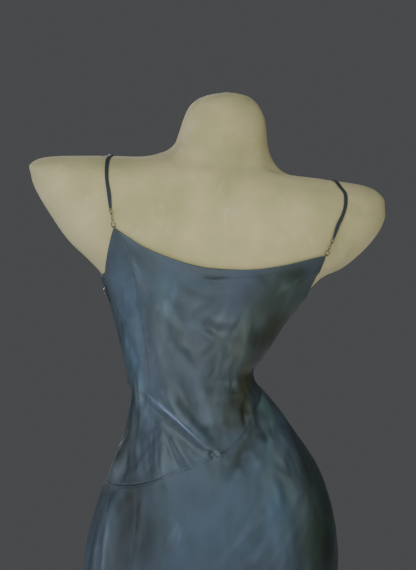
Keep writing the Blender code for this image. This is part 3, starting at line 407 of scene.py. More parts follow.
# The lapped edge at the hips: a painted highlight along it, which also polishes it, and a painted
# shadow on the line above it, each with its strength, its distance from the edge and its width
LAP_PAINTED_HIGHLIGHT, LAP_PAINTED_SHADOW = (0.32, 0, 0.0011), (0.50, 0.0028, 0.0010)
STRAP_TINT = (0.62, 0.57, 0.57)

# Straps: angle over the shoulder (0 back, 90 up) and x
SHOULDER_AXIS = 1.280
STRAP_WIDTH, STRAP_THICK, STRAP_LIFT = 0.0060, 0.0016, 0.0009
STRAPS = {                   # the first row is where the chain's end meets the strap
    "left": ((20.0, 0.1470), (35.0, 0.1512), (50.0, 0.1550), (65.0, 0.1555), (80.0, 0.1540),
             (105.0, 0.1490), (135.0, 0.1380), (160.0, 0.1250), (180.0, 0.1150)),
    "right": ((-7.0, -0.1765), (8.0, -0.1850), (18.0, -0.1910), (29.0, -0.1955),
              (40.0, -0.1973), (50.0, -0.1965), (60.0, -0.1900), (75.0, -0.1840),
              (100.0, -0.1740), (135.0, -0.1540), (160.0, -0.1340), (180.0, -0.1190)),
}
STRAP_STEPS, STRAP_END_STEPS = 160, 28
STRAP_GATHERS = (            # share of its width lost, where along it, and how far
    (-0.30, 0, 0.05), (-0.12, 0.13, 0.05), (-0.25, 1, 0.04),
)
UP = (0.0, 0.0, 1.0)
CHAIN_LIFT = 0.0028
RING_RADIUS, RING_WIRE = 0.0033, 0.0005
LINK_RADIUS, LINK_STRAIGHT, LINK_WIRE = 0.0013, 0.0026, 0.0004
WIRE_STOUTER = 0.00015       # drawn wire is this much stouter, outward only
LINKS = 3
CLASP_RADIUS, CLASP_STRAIGHT, CLASP_WIRE = 0.0024, 0.0036, 0.0007
CLASP_EYE, EYE_WIRE, EYE_OVERLAP = 0.00095, 0.0007, 0.00060
HOOK_TURNS, HOOK_STEPS = (math.radians(200), math.radians(-145)), 30
HOOK_MIDDLE, HOOK_LONG, HOOK_WIDE = 0.0008, 0.0030, 0.00215
HOOK_SWELL = ((0, 0.35, 0.8, 1), (1.35, 1.05, 0.8, 0.55))      # share along it, how stout
CLASP_PARTS = (              # name, path, width, thickness, sides, and how it swells
    ("gate", ((-0.0020, -0.0002, 0), (-0.0013, -0.0012, 0), (-0.0004, -0.0017, 0),
              (0.0009, -0.0021, 0)), 0.0010, 0.0013, 10, 1),
    ("lever", ((-0.0016, -0.0010, 0), (-0.0021, -0.0021, 0), (-0.0018, -0.0029, 0)),
     0.0007, 0.0011, 10, (1, 1, 1.25)),
    ("neck", ((-0.0018, 0.0004, 0), (-0.0026, 0.0001, 0), (-0.0031, 0, 0)),
     0.0013, 0.0013, 12, (1.2, 0.8, 0.7)),
)
LINK_PLAY = 0.00015
WRAPS, WRAP_TURN = 7, 13     # turns of thread on a ring, and degrees from one to the next
WRAP_RADIUS, WRAP_STRAIGHT, WRAP_THREAD, WRAP_OFF = 0.00085, 0.0006, 0.00032, 0.0004
LOOP_RADIUS, LOOP_STRAIGHT, LOOP_WIRE, LOOP_OFF = 0.00100, 0.0012, 0.00055, 0.0007
CAD_CLOTH = 0.0012           # wall of the solids that the rings hang from

# Zip slider and its pull
SLIDER_LEVEL = 1.190
SLIDER_LENGTH, SLIDER_WIDTH, SLIDER_THICK = 0.0090, 0.0056, 0.0016
BAIL_LENGTH, BAIL_WIDTH, BAIL_HEIGHT = 0.0054, 0.0014, 0.0028
BAIL_THICK, BAIL_INSET, BAIL_SUNK = 0.0010, 0.0006, 0.0002
SLIDER_BEVEL, PULL_BEVEL = 0.0004, 0.0002
SLIDER_OUTLINE = ((-1, 0.95), (-0.4, 1), (0.4, 0.78), (1, 0.62))      # shares, down and wide
PIVOT_HEIGHT = 0.0012
EYE_RADIUS, EYE_STRAIGHT, EYE_END = 0.00155, 0.0030, 0.0054
PULL_LENGTH, PULL_WIDTH, PULL_THICK, PULL_BAR = 0.0200, 0.0042, 0.0010, 0.0010
PULL_NECK, PULL_NECK_SHARE, PULL_EYE_SHARE = 0.003, 0.82, 0.55   # where it narrows, how far

# Finishes, as linear colours
SATIN_DEEP = (0.074, 0.0965, 0.112, 1)
SATIN_LIGHT = (0.090, 0.121, 0.168, 1)
# painted highlight colour of the crests and of the lapped edge
SATIN_CREST_HIGHLIGHT = (0.185, 0.255, 0.450, 1)
JERSEY_DEEP = (0.540, 0.505, 0.258, 1)
JERSEY_LIGHT = (0.725, 0.620, 0.355, 1)
JERSEY_RUBBED = (0.800, 0.740, 0.560, 1)
SATIN_COLOURS = (SATIN_DEEP, SATIN_LIGHT)
SATIN_YARN = (0.00022, 0.000006)                # width and height
RUMPLES = (110.0, 0.00010)                      # how many in a metre, and their height
WRONG_SIDE = ((0.045, 0.072, 0.088, 1), (0.060, 0.094, 0.112, 1))
THREAD_SLATE = ((0.060, 0.095, 0.115, 1), (0.085, 0.128, 0.150, 1))
PALE_GOLD = ((0.20, 0.165, 0.11, 1), (0.46, 0.40, 0.28, 1))
DULL_NICKEL = ((0.13, 0.13, 0.13, 1), (0.26, 0.26, 0.26, 1))
BLACK_PAINT = ((0.018, 0.018, 0.020, 1), (0.030, 0.030, 0.032, 1))

# Floor, lights (name, place, height aimed at, size, power, colour) and camera
FLOOR_RADIUS, FLOOR_LEVEL = 3.2, -0.0005
SOFTBOXES = (
    ("key_softbox", (1.22, 2.61, 2.95), 1.15, 1.6, 42, (0.96, 1.0, 0.93)),
    ("low_softbox", (0.0, 3.40, 0.80), 1.15, 2.4, 36, (1.0, 0.99, 0.99)),
    ("side_softbox", (3.25, 0.87, 0.75), 1.15, 1.4, 22, (0.90, 0.95, 1.0)),
    ("warm_fill", (-2.55, 2.14, 1.86), 1.15, 1.4, 17, (0.97, 1.0, 0.66)),
    ("front_softbox", (1.0, -3.6, 2.3), 1.0, 1.8, 100, (1.0, 0.98, 0.95)),
)
AIR_COLOUR, AIR_STRENGTH = (0.90, 0.93, 0.97, 1), 0.08
CAMERA_AIM, CAMERA_DISTANCE, CAMERA_LIFT = (0.006, 0.02, 1.1999), 3.0, math.radians(2.5)
VIEW_HEIGHT = 0.855


# ---------------------------------------------------------------- smooth tables
def rows_at(table, place):
    """Rows of a table at fractional places, on a smooth curve through its rows."""
    table = np.asarray(table, float)
    last = len(table) - 1
    place = np.clip(np.asarray(place, float), 0.0, last)
    first = np.minimum(place.astype(int), last - 1)
    t = (place - first)[..., None]
    before, start, end, after = (table[np.clip(first + k, 0, last)] for k in (-1, 0, 1, 2))
    return 0.5 * (2 * start + (end - before) * t
                  + (2 * before - 5 * start + 4 * end - after) * t ** 2
                  + (3 * start - before - 3 * end + after) * t ** 3)


def column_at(table, value, column, other):
    """Values of one column where another, which only rises or only falls, has given values."""
    rows = rows_at(table, np.linspace(0, len(table) - 1, 60 * (len(table) - 1) + 1))
    step = 1 if rows[-1, column] > rows[0, column] else -1
    return np.interp(value, rows[::step, column], rows[::step, other])


def along(table, fraction):
    """Point of a smooth line through the table's rows, at an even fraction of its length."""
    table = np.asarray(table, float)
    spans = np.hypot(np.diff(table[:, 0]) * 0.0025, np.diff(table[:, 1]))
    steps = np.concatenate(([0.0], np.cumsum(spans)))
    return rows_at(table, np.interp(np.asarray(fraction) * steps[-1], steps, range(len(table))))


def smoothstep(value):
    value = np.clip(value, 0.0, 1.0)
    return value * value * (3 - 2 * value)


def signed_power(value, exponent):
    return np.copysign(np.abs(value) ** exponent, value)


# ---------------------------------------------------------------- figure and cloth surface
PLACES = np.linspace(0, len(FIGURE) - 1, 8001)
LEVELS = rows_at(FIGURE, PLACES)[:, HEIGHT]


def sections_at(level):
    return rows_at(FIGURE, np.interp(-np.asarray(level, float), -LEVELS, PLACES))


def section_points(sections, angle, out):
    """Points of sections' rings at angles, moved straight out from them."""
    cosine, sine = np.cos(np.radians(angle)), np.sin(np.radians(angle))
    depth = np.where(sine >= 0, sections[..., BACK], sections[..., FRONT])
    half, square = sections[..., HALF_WIDTH], sections[..., SQUARE]
    across = half * signed_power(cosine, 2 / square)
    deep = depth * signed_power(sine, 2 / square)
    normal_x = signed_power(cosine, 2 - 2 / square) / half
    normal_y = signed_power(sine, 2 - 2 / square) / depth
    size = np.hypot(normal_x, normal_y)
    tall = np.where(sections[..., HEIGHT] > BUST.level, BUST.tall_above, BUST.tall_below)
    beyond = np.maximum(0, np.abs(sections[..., CENTRE_X] + across - BUST.centre_x)
                        - BUST.plateau) / BUST.fade
    bust = BUST.rise * np.exp(-((sections[..., HEIGHT] - BUST.level) / tall) ** 2 - beyond ** 2)
    deep = deep - bust * smoothstep(-sine * 2)
    across = across + normal_x / size * out
    deep = deep + normal_y / size * out
    tilt = np.radians(sections[..., TILT])
    return np.stack((sections[..., CENTRE_X] + across * np.cos(tilt), deep,
                     sections[..., HEIGHT] + across * np.sin(tilt)), axis=-1)


def ease_at(level, angle):
    sine = np.sin(np.radians(angle))
    side = column_at(EASE, level, 0, 1)
    facing = np.where(sine > 0, column_at(EASE, level, 0, 2), column_at(EASE, level, 0, 3))
    return side + (facing - side) * sine * sine


def flute_rise(level, angle):
    depth = FLUTE_DEPTH * smoothstep((FLUTE_START - level) / FLUTE_START) ** 1.3
    turn = np.radians(angle)
    wave = np.cos(FLUTES * turn + 0.7 * np.sin(2 * turn + 0.6) + 0.4)
    return depth * (wave * (1 + 0.25 * np.sin(3 * turn + 1.0)) + 0.3)


def form_inset(level):
    return (FORM_INSET * smoothstep((INSET_FROM - level) / (INSET_FROM - INSET_TO))
            + HIDDEN_INSET * smoothstep((HIDDEN_FROM - level) / (HIDDEN_FROM - HIDDEN_TO)))


def cloth_base(level, angle, rise=0.0):
    """Points of the cloth's outer face, before its creases, or raised by them."""
    out = ease_at(level, angle) + flute_rise(level, angle) + rise
    return section_points(sections_at(level), angle, out)


def outward(points_at, level, angle):
    """Directions out of a surface given by level and angle."""
    down = points_at(level - 0.002, angle) - points_at(level + 0.002, angle)
    aside = points_at(level, angle + 1.0) - points_at(level, angle - 1.0)
    normal = np.cross(down, aside)
    return normal / np.linalg.norm(normal, axis=-1, keepdims=True)


LEVEL_PASSES, HALVINGS = 5, 16                  # of the search for a place seen square-on
FACES = {                    # angles a face spans, the axis across it, and that axis's sense
    "back": (0.0, 180.0, 0, -1), "front": (360.0, 180.0, 0, -1),
    "left": (-90.0, 90.0, 1, 1), "right": (270.0, 90.0, 1, 1),
}


def places_on(face, across, height):
    """Angles and levels of the cloth at places seen square-on from the back, front or a side."""
    low, high, axis, sense = FACES[face]
    level = height.copy()
    for _ in range(LEVEL_PASSES):
        first, last = np.full(len(level), low), np.full(len(level), high)
        for _ in range(HALVINGS):
            angle = (first + last) / 2
            point = cloth_base(level, angle)
            short = (point[:, axis] - across) * sense < 0
            first, last = np.where(short, angle, first), np.where(short, last, angle)
        level += height - point[:, 2]
    return angle, level


# ---------------------------------------------------------------- creases and unevenness
def crease_lines():
    """Each crease as a fine line of points on the cloth, with its share of the rise."""
    lines = []
    for face, rows in CREASES.items():
        creases = [Crease(*np.array(row[:3]) / 1000, *row[3:]) for row in rows]
        across, height, share = np.array([stop for crease in creases for stop in crease.path]).T
        stops = np.column_stack((*places_on(face, across / 1000, height / 1000), share))
        ends = np.cumsum([len(crease.path) for crease in creases])
        for crease, part in zip(creases, np.split(stops, ends)):
            fine = rows_at(part, np.linspace(0, len(part) - 1, 10 * (len(part) - 1) + 1))
            lines.append((crease, cloth_base(fine[:, 1], fine[:, 0]), fine[:, 2]))
    return lines


def crease_rise(points, normals):
    """Height of all the creases at points of the cloth, and the painted highlight of their crests,
    which also polishes them.
    """
    rise, shine = np.zeros((2, len(points)))
    for crease, line, share in CREASE_LINES:
        reach = CREASE_REACH * max(crease.left_width, crease.right_width)
        near = np.flatnonzero(np.all((points > line.min(0) - reach)
                                     & (points < line.max(0) + reach), axis=1))
        if not len(near):
            continue
        starts, runs = line[:-1], np.diff(line, axis=0)
        aside = points[near][:, None] - starts
        t = np.clip((aside * runs).sum(-1) / (runs ** 2).sum(-1), 0, 1)
        gaps = aside - t[..., None] * runs
        gaps -= (gaps * normals[near][:, None]).sum(-1, keepdims=True) * normals[near][:, None]
        distance = np.linalg.norm(gaps, axis=-1)
        best = distance.argmin(1)
        pick = np.arange(len(near))
        to_right = np.cross(runs[best], normals[near])
        on_right = (to_right * gaps[pick, best]).sum(-1) > 0
        width = np.where(on_right, crease.right_width, crease.left_width)
        height = share[best] + (share[best + 1] - share[best]) * t[pick, best]
        away = distance[pick, best] / width
        rise[near] += crease.rise * height * np.exp(-away ** 2)
        shine[near] += crease.shine * height * np.exp(-(HIGHLIGHT_NARROWER * away) ** 2)
    return rise, np.minimum(shine, 1.0)


def ripples(points, seed, length, lean, count=22):
    """Even-tempered unevenness of about unit height; lean stretches it along a direction."""
    rng = np.random.default_rng(seed)
    waves = rng.normal(size=(count, 3))
    lean = np.array(lean, float)
    waves -= np.outer(waves @ lean, lean) / (lean @ lean) * 0.72
    waves *= 2 * math.pi / length * (0.55 + 0.9 * rng.random((count, 1))) \
        / np.linalg.norm(waves, axis=1, keepdims=True)
    return np.sin(points @ waves.T + rng.random(count) * 2 * math.pi).sum(1) / math.sqrt(count)


def slack_rise(points, level, angle):
    """Height of the soft unevenness: broad, middling and small ripples, and dents."""
    slack = np.where(np.sin(np.radians(angle)) > 0,
                     column_at(SLACK, level, 0, 1), column_at(SLACK, level, 0, 2))
    broad, middle, small, patchy, dents = (ripples(points, *wave) for wave in SLACK_WAVES)
    patchy = 0.5 + 0.5 * np.tanh(patchy)
    dents = 0.5 - np.sqrt(dents ** 2 + 0.02)
    return slack * (0.50 * broad + 0.38 * middle * patchy + 0.30 * dents + 0.10 * small * patchy)


def painted_light_at(points, normals, panel):
    """Colour factors of the painted light and shade patches at points of a panel, on cloth that
    faces back.
    """
    stray_across, stray_up = (ripples(points, *wave) for wave in TINT_WAVES)
    on_back = smoothstep(2.5 * normals[:, 1] + 0.2)
    tint_and_painted_light = np.ones((len(points), 3))
    for patch in (patch for patch in PAINTED_LIGHT_PATCHES if patch.only in panel):
        wander = min(TINT_WANDER, 0.35 * patch.wide)
        across = points[:, 0] - patch.across + wander * stray_across
        up = points[:, 2] - patch.height + wander * stray_up
        lean = math.radians(patch.lean)
        aside = (across * math.cos(lean) - up * math.sin(lean)) / patch.wide
        along_it = (up * math.cos(lean) + across * math.sin(lean)) / patch.tall
        share = on_back * np.exp(-(aside ** 2 + along_it ** 2) ** 1.4)
        tint_and_painted_light *= 1 + share[:, None] * (np.array((patch.red, patch.green, patch.blue)) - 1)
    return tint_and_painted_light


# ---------------------------------------------------------------- meshes
def link(obj):
    bpy.context.scene.collection.objects.link(obj)
    return obj


def fit(piece, node=None, body="root"):
    """Says which body a piece rides on, and hides the solid that it replaces."""
    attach(piece, body)
    if node:
        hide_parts(node)


def run_along(points, axis=0):
    """Distance walked along one axis of a grid of points, from 0 at its start."""
    steps = np.linalg.norm(np.diff(points, axis=axis), axis=-1)
    start = np.zeros_like(steps.take([0], axis))
    return np.concatenate((start, np.cumsum(steps, axis=axis)), axis=axis)


def finished_object(name, mesh, finishes, smooth_angle):
    mesh.materials.clear()
    for item in finishes:
        mesh.materials.append(item)
    mesh.shade_smooth()
    mesh.set_sharp_from_angle(angle=math.radians(smooth_angle))
    mesh.update()
    return link(bpy.data.objects.new(name, mesh))


def mesh_object(name, vertices, faces, finishes, uv=None, smooth_angle=60):
    """Mesh object of points and faces; uv gives a place on the cloth for each vertex."""
    mesh = bpy.data.meshes.new(name)
    mesh.from_pydata([tuple(v) for v in vertices], [], [tuple(f) for f in faces])
    if uv is not None:
        corners = np.empty(len(mesh.loops), int)
        mesh.loops.foreach_get("vertex_index", corners)
        layer = mesh.uv_layers.new(name="cloth")
        layer.data.foreach_set("uv", np.asarray(uv, np.float32)[corners].ravel())
    return finished_object(name, mesh, finishes, smooth_angle)


def keep_tint(piece, tint_and_painted_light):
    """Keeps colour factors at a piece's points, for its finish."""
    colours = np.column_stack((tint_and_painted_light, np.ones(len(tint_and_painted_light)))).astype(np.float32)
    layer = piece.data.attributes.new("tint_and_painted_light", "FLOAT_COLOR", "POINT")
    layer.data.foreach_set("color", colours.ravel())


def grid_faces(columns, rows, closed=False, closed_down=False):
    """Faces of a grid of points that run down each column in turn."""
    i, j = np.meshgrid(np.arange(columns - (not closed)), np.arange(rows - (not closed_down)),
                       indexing="ij")
    k, m = (i + 1) % columns, (j + 1) % rows
    return np.stack((i * rows + j, i * rows + m, k * rows + m, k * rows + j),
                    axis=-1).reshape(-1, 4)


def evaluated_mesh(obj):
    """The object's mesh with its modifiers worked in."""
    graph = bpy.context.evaluated_depsgraph_get()
    return bpy.data.meshes.new_from_object(obj.evaluated_get(graph), depsgraph=graph)


def joined(name, objects, finish_of_all, smooth_angle=60):
    """One object out of several, their modifiers and places worked in."""
    bm = bmesh.new()
    for obj in objects:
        mesh = evaluated_mesh(obj)
        mesh.transform(obj.matrix_world)
        bm.from_mesh(mesh)
        bpy.data.meshes.remove(mesh)
        bpy.data.objects.remove(obj)
    mesh = bpy.data.meshes.new(name)
    bm.to_mesh(mesh)
    bm.free()
    return finished_object(name, mesh, [finish_of_all], smooth_angle)


def fix_normals(obj):
    bm = bmesh.new()
    bm.from_mesh(obj.data)
    bmesh.ops.remove_doubles(bm, verts=bm.verts, dist=1e-7)
    bmesh.ops.recalc_face_normals(bm, faces=bm.faces)
    bm.to_mesh(obj.data)
    bm.free()


def sweep(name, path, normals, profile, material, closed=False, scale=1.0):
    """Tube of a flat profile (across, out) along a path; the normals give its out side."""
    path, profile = np.asarray(path, float), np.asarray(profile, float)
    if closed:
        ahead = np.roll(path, -1, axis=0) - np.roll(path, 1, axis=0)
    else:
        ahead = np.gradient(path, axis=0)
    ahead /= np.linalg.norm(ahead, axis=1, keepdims=True)
    across = np.cross(ahead, np.broadcast_to(np.asarray(normals, float), path.shape))
    across /= np.linalg.norm(across, axis=1, keepdims=True)
    out = np.cross(across, ahead)
    scale = np.broadcast_to(np.asarray(scale, float), len(path))[:, None, None]
    rings = path[:, None] + (across[:, None] * profile[:, 0, None]
                             + out[:, None] * profile[:, 1, None]) * scale
    count, last = len(profile), (len(path) - 1) * len(profile)
    faces = grid_faces(len(path), count, closed, True).tolist()
    if not closed:
        faces += [list(range(count))[::-1], list(range(last, last + count))]
    uv = np.stack(np.meshgrid(run_along(profile), run_along(path)), axis=-1)
    made = mesh_object(name, rings.reshape(-1, 3), faces, [material], uv.reshape(-1, 2))
    fix_normals(made)
    return made


def round_profile(width, thick, count, power=2.0):
    turns = np.linspace(0, 2 * math.pi, count, endpoint=False)
    return np.stack((width / 2 * signed_power(np.cos(turns), 2 / power),
                     thick / 2 * signed_power(np.sin(turns), 2 / power)), axis=-1)


# ---------------------------------------------------------------- finishes
def socket(sockets, key):
    return next(s for s in sockets if key in (s.identifier, s.name, s.name.replace(" ", "_")))


class Wiring:
    """Adds nodes to a tree, and joins each to the nodes and sockets that it is given."""

    def __init__(self, tree):
        self.tree = tree

    def feed(self, target, value):
        if isinstance(value, bpy.types.Node):
            value = value.outputs[0]
        if isinstance(value, bpy.types.NodeSocket):
            self.tree.links.new(value, target)
        else:
            target.default_value = value

    def add(self, kind, *inputs, **settings):
        """A node: inputs fill its sockets in order, settings go to those of their name."""
        made = self.tree.nodes.new(kind)
        for key, value in settings.items():
            if hasattr(made, key):
                setattr(made, key, value)
            else:
                self.feed(socket(made.inputs, key), value)
        for target, value in zip(made.inputs, inputs):
            self.feed(target, value)
        return made

    def calc(self, operation, *inputs):
        return self.add("ShaderNodeMath", *inputs, operation=operation)

    def group(self, name, *inputs):
        return self.add("ShaderNodeGroup", *inputs, node_tree=GROUPS[name])

    def noise(self, place, scale, detail, roughness):
        return self.add("ShaderNodeTexNoise", Vector=place, Scale=scale, Detail=detail,
                        Roughness=roughness)

    def spread(self, value, low, high, from_low=0.0, from_high=1.0):
        return self.add("ShaderNodeMapRange", value, From_Min=from_low, From_Max=from_high,
                        To_Min=low, To_Max=high)

    def blend(self, share, first, second, **settings):
        mix = self.add("ShaderNodeMix", data_type="RGBA", Factor_Float=share, A_Color=first,
                       B_Color=second, **settings)
        return socket(mix.outputs, "Result_Color")

    def kept(self, name):
        return self.add("ShaderNodeAttribute", attribute_name=name)

    def cloth_map(self):
        return self.add("ShaderNodeUVMap", uv_map="cloth")

    def place(self):
        return self.add("ShaderNodeTexCoord").outputs["Object"]

    def bump(self, height, strength=1.0, distance=1.0):
        return self.add("ShaderNodeBump", Strength=strength, Distance=distance, Height=height)


def new_group(name, output, kind="ShaderNodeTree", output_socket="NodeSocketFloat", **inputs):
    """Tree with named inputs, each a number or a kind of socket. Returns it, wired to them."""
    tree = bpy.data.node_groups.new(name, kind)
    for label, value in inputs.items():
        plain = not isinstance(value, str)
        made = tree.interface.new_socket(label.replace("_", " "), in_out="INPUT",
                                         socket_type="NodeSocketFloat" if plain else value)
        if plain:
            made.default_value = value
    tree.interface.new_socket(output, in_out="OUTPUT", socket_type=output_socket)
    nodes = Wiring(tree)
    return nodes, nodes.add("NodeGroupInput").outputs[:len(inputs)]


def tone_group():
    """Slow patches of lighter and darker cloth, 0 to 1."""
    nodes, (place, patches) = new_group("cloth_tone", "Tone", Vector="NodeSocketVector",
                                        Patches_per_metre=9.0)
    nodes.add("NodeGroupOutput",
              nodes.spread(nodes.noise(place, patches, 3.0, 0.55), 0.0, 1.0, 0.32, 0.68))
    return nodes.tree


def satin_group():
    """Height of a satin's long floats: ribs along the warp, broken by tucks, in metres."""
    nodes, (place, yarn, height) = new_group("satin_yarns", "Relief", Vector="NodeSocketVector",
                                             Yarn=0.0004, Height=0.00003)
    split = nodes.add("ShaderNodeSeparateXYZ", place)
    ribs = nodes.calc("DIVIDE", split.outputs["X"], yarn)
    rib = nodes.calc("SINE", nodes.calc("MULTIPLY", ribs, 2 * math.pi))
    floats = nodes.calc("DIVIDE", split.outputs["Y"], nodes.calc("MULTIPLY", yarn, 7.0))
    stagger = nodes.calc("MULTIPLY", nodes.calc("FLOOR", ribs), 0.4)
    part = nodes.calc("FRACT", nodes.calc("ADD", floats, stagger))
    tuck = nodes.calc("LESS_THAN", part, 0.14)
    soft = nodes.calc("MULTIPLY_ADD", tuck, -0.8, rib)
    nodes.add("NodeGroupOutput", nodes.calc("MULTIPLY", soft, height))
    return nodes.tree


def rumple_group():
    """Faint rumples of worn cloth, a few millimetres across, in metres."""
    nodes, (place, per_metre, height) = new_group("cloth_rumples", "Relief",
                                                  Vector="NodeSocketVector", Per_metre=90.0,
                                                  Height=0.0002)
    stretch = nodes.add("ShaderNodeMapping", place, Rotation=(0, 0.6, 0),
                        Scale=(1.0, 1.0, 0.35))
    rumples = nodes.noise(stretch, per_metre, 2.0, 0.5)
    nodes.add("NodeGroupOutput", nodes.calc("MULTIPLY", rumples, height))
    return nodes.tree


def knit_group():
    """Ribs and loops of a fine jersey, in metres."""
    nodes, (place, stitch, height) = new_group("jersey_loops", "Relief",
                                               Vector="NodeSocketVector", Stitch=0.0009,
                                               Height=0.00006)
    split = nodes.add("ShaderNodeSeparateXYZ", place)
    across, down = (nodes.calc("MULTIPLY", nodes.calc("DIVIDE", split.outputs[axis], stitch),
                               2 * math.pi) for axis in "XY")
    rib = nodes.calc("COSINE", across)
    slant = nodes.calc("MULTIPLY", nodes.calc("ABSOLUTE", rib), 1.2)
    loops = nodes.calc("SINE", nodes.calc("ADD", down, slant))
    both = nodes.calc("MULTIPLY_ADD", loops, 0.6, rib)
    nodes.add("NodeGroupOutput", nodes.calc("MULTIPLY", both, height))
    return nodes.tree


def finish(name, varying, **plain):
    """Material: plain values on its Principled shader, and what varying(nodes) joins to it."""
    material = bpy.data.materials.new(name)
    material.use_nodes = True
    material.node_tree.nodes.clear()
    nodes = Wiring(material.node_tree)
    shader = nodes.add("ShaderNodeBsdfPrincipled", **plain, **varying(nodes))
    nodes.add("ShaderNodeOutputMaterial", shader)
    return material


def cloth_finish(name, colours, roughness, yarn, rumple, tinted=0.0, **plain):
    """Satin: tone in slow patches, multiplied by the kept colour factors with their painted light
    and shade, a painted highlight colour on crests, woven relief along the piece's own map, faint
    rumples.
    """
    def varying(nodes):
        place = nodes.place()
        lean = nodes.add("ShaderNodeMapping", place, Rotation=(0, 0.55, 0),
                         Scale=(1.0, 1.0, 0.42))
        tone = nodes.group("tone", lean, 20.0)
        # the kept factors paint light and shade onto the tone; crests get a painted highlight
        # colour and less roughness
        tone_and_painted_light = nodes.blend(tinted, nodes.blend(tone, *colours), nodes.kept("tint_and_painted_light"),
                           blend_type="MULTIPLY")
        crest = nodes.kept("shine").outputs["Fac"]
        relief = nodes.calc("ADD", nodes.group("satin", nodes.cloth_map(), *yarn),
                            nodes.group("rumple", place, *rumple))
        return {"Base_Color": nodes.blend(crest, tone_and_painted_light, SATIN_CREST_HIGHLIGHT),
                "Roughness": nodes.calc("MULTIPLY_ADD", crest, -0.16,
                                        nodes.spread(tone, *roughness)),
                "Normal": nodes.bump(relief)}
    return finish(name, varying, **plain)


def jersey_finish():
    """Fine cream jersey: knitted relief, slow tone, paler where it is rubbed, fluff."""
    def varying(nodes):
        place = nodes.place()
        ground = nodes.blend(nodes.group("tone", place, 14.0), JERSEY_DEEP, JERSEY_LIGHT)
        rubbed = nodes.spread(nodes.noise(place, 34.0, 8.0, 0.75), 0.0, 0.55, 0.56, 0.72)
        fluff = nodes.noise(place, 260.0, 6.0, 0.7)
        relief = nodes.calc("ADD", nodes.group("knit", nodes.cloth_map()),
                            nodes.calc("MULTIPLY", fluff, 0.00035))
        return {"Base_Color": nodes.blend(rubbed, ground, JERSEY_RUBBED),
                "Roughness": nodes.spread(fluff, 0.82, 0.95), "Normal": nodes.bump(relief)}
    return finish("cream_jersey", varying, Sheen_Weight=0.25, Sheen_Roughness=0.6,
                  Specular_IOR_Level=0.25)


def metal_finish(name, colours, roughness, marks_scale, **plain):
    """Metal with faint rubbed marks that dull it."""
    def varying(nodes):
        marks = nodes.noise(nodes.place(), marks_scale, 5.0, 0.65)
        return {"Base_Color": nodes.blend(marks, *colours),
                "Roughness": nodes.spread(marks, *roughness, 0.3, 0.7),
                "Normal": nodes.bump(marks, 0.25, 0.00005)}
    return finish(name, varying, **plain)


# ---------------------------------------------------------------- cloth panels
def coons(top, bottom, left, right, u, v):
    """Patch between four edges that share their corners; u and v are the lines' fractions."""
    tops, bottoms, lefts, rights = top(u), bottom(u), left(v), right(v)
    u, v = u[:, None, None], v[None, :, None]
    sides = (1 - u) * lefts[None] + u * rights[None]
    ends = (1 - v) * tops[:, None] + v * bottoms[:, None]
    corners = ((1 - u) * ((1 - v) * tops[0] + v * bottoms[0])
               + u * ((1 - v) * tops[-1] + v * bottoms[-1]))
    return sides + ends - corners


def crowded(spans):
    """Fractions of an edge, closer together at the ends of each span (share, steps)."""
    whole, start, total = [0.0], 0.0, sum(share for share, _ in spans)
    for share, steps in spans:
        t = np.linspace(0, 1, steps + 1)[1:]
        t = t - CROWDING * np.sin(2 * math.pi * t) / (2 * math.pi)
        whole.extend(start + t * share / total)
        start += share / total
    return np.array(whole)


def bumps(place, rows):
    """Sum of rounded bumps, each a height, a middle and a width."""
    return sum(height * np.exp(-((place - middle) / width) ** 2)
               for height, middle, width in rows)


def border_rise(kind, distance, run):
    """Shape of the cloth beside its border: rolled in, and puckered or doubled."""
    shape = BORDERS[kind]
    doubled, depth = shape.doubled
    pucker = np.sin(run * 2 * math.pi / PUCKER_PITCH + 1.7 * np.sin(run * 61)) \
        * (0.6 + 0.4 * np.sin(run * 97 + 1.0))
    return (bumps(distance, shape.bumps) + doubled * smoothstep((depth - distance) / FOLD_SOFT)
            + shape.pucker * pucker * np.exp(-(distance / PUCKER_REACH) ** 2))


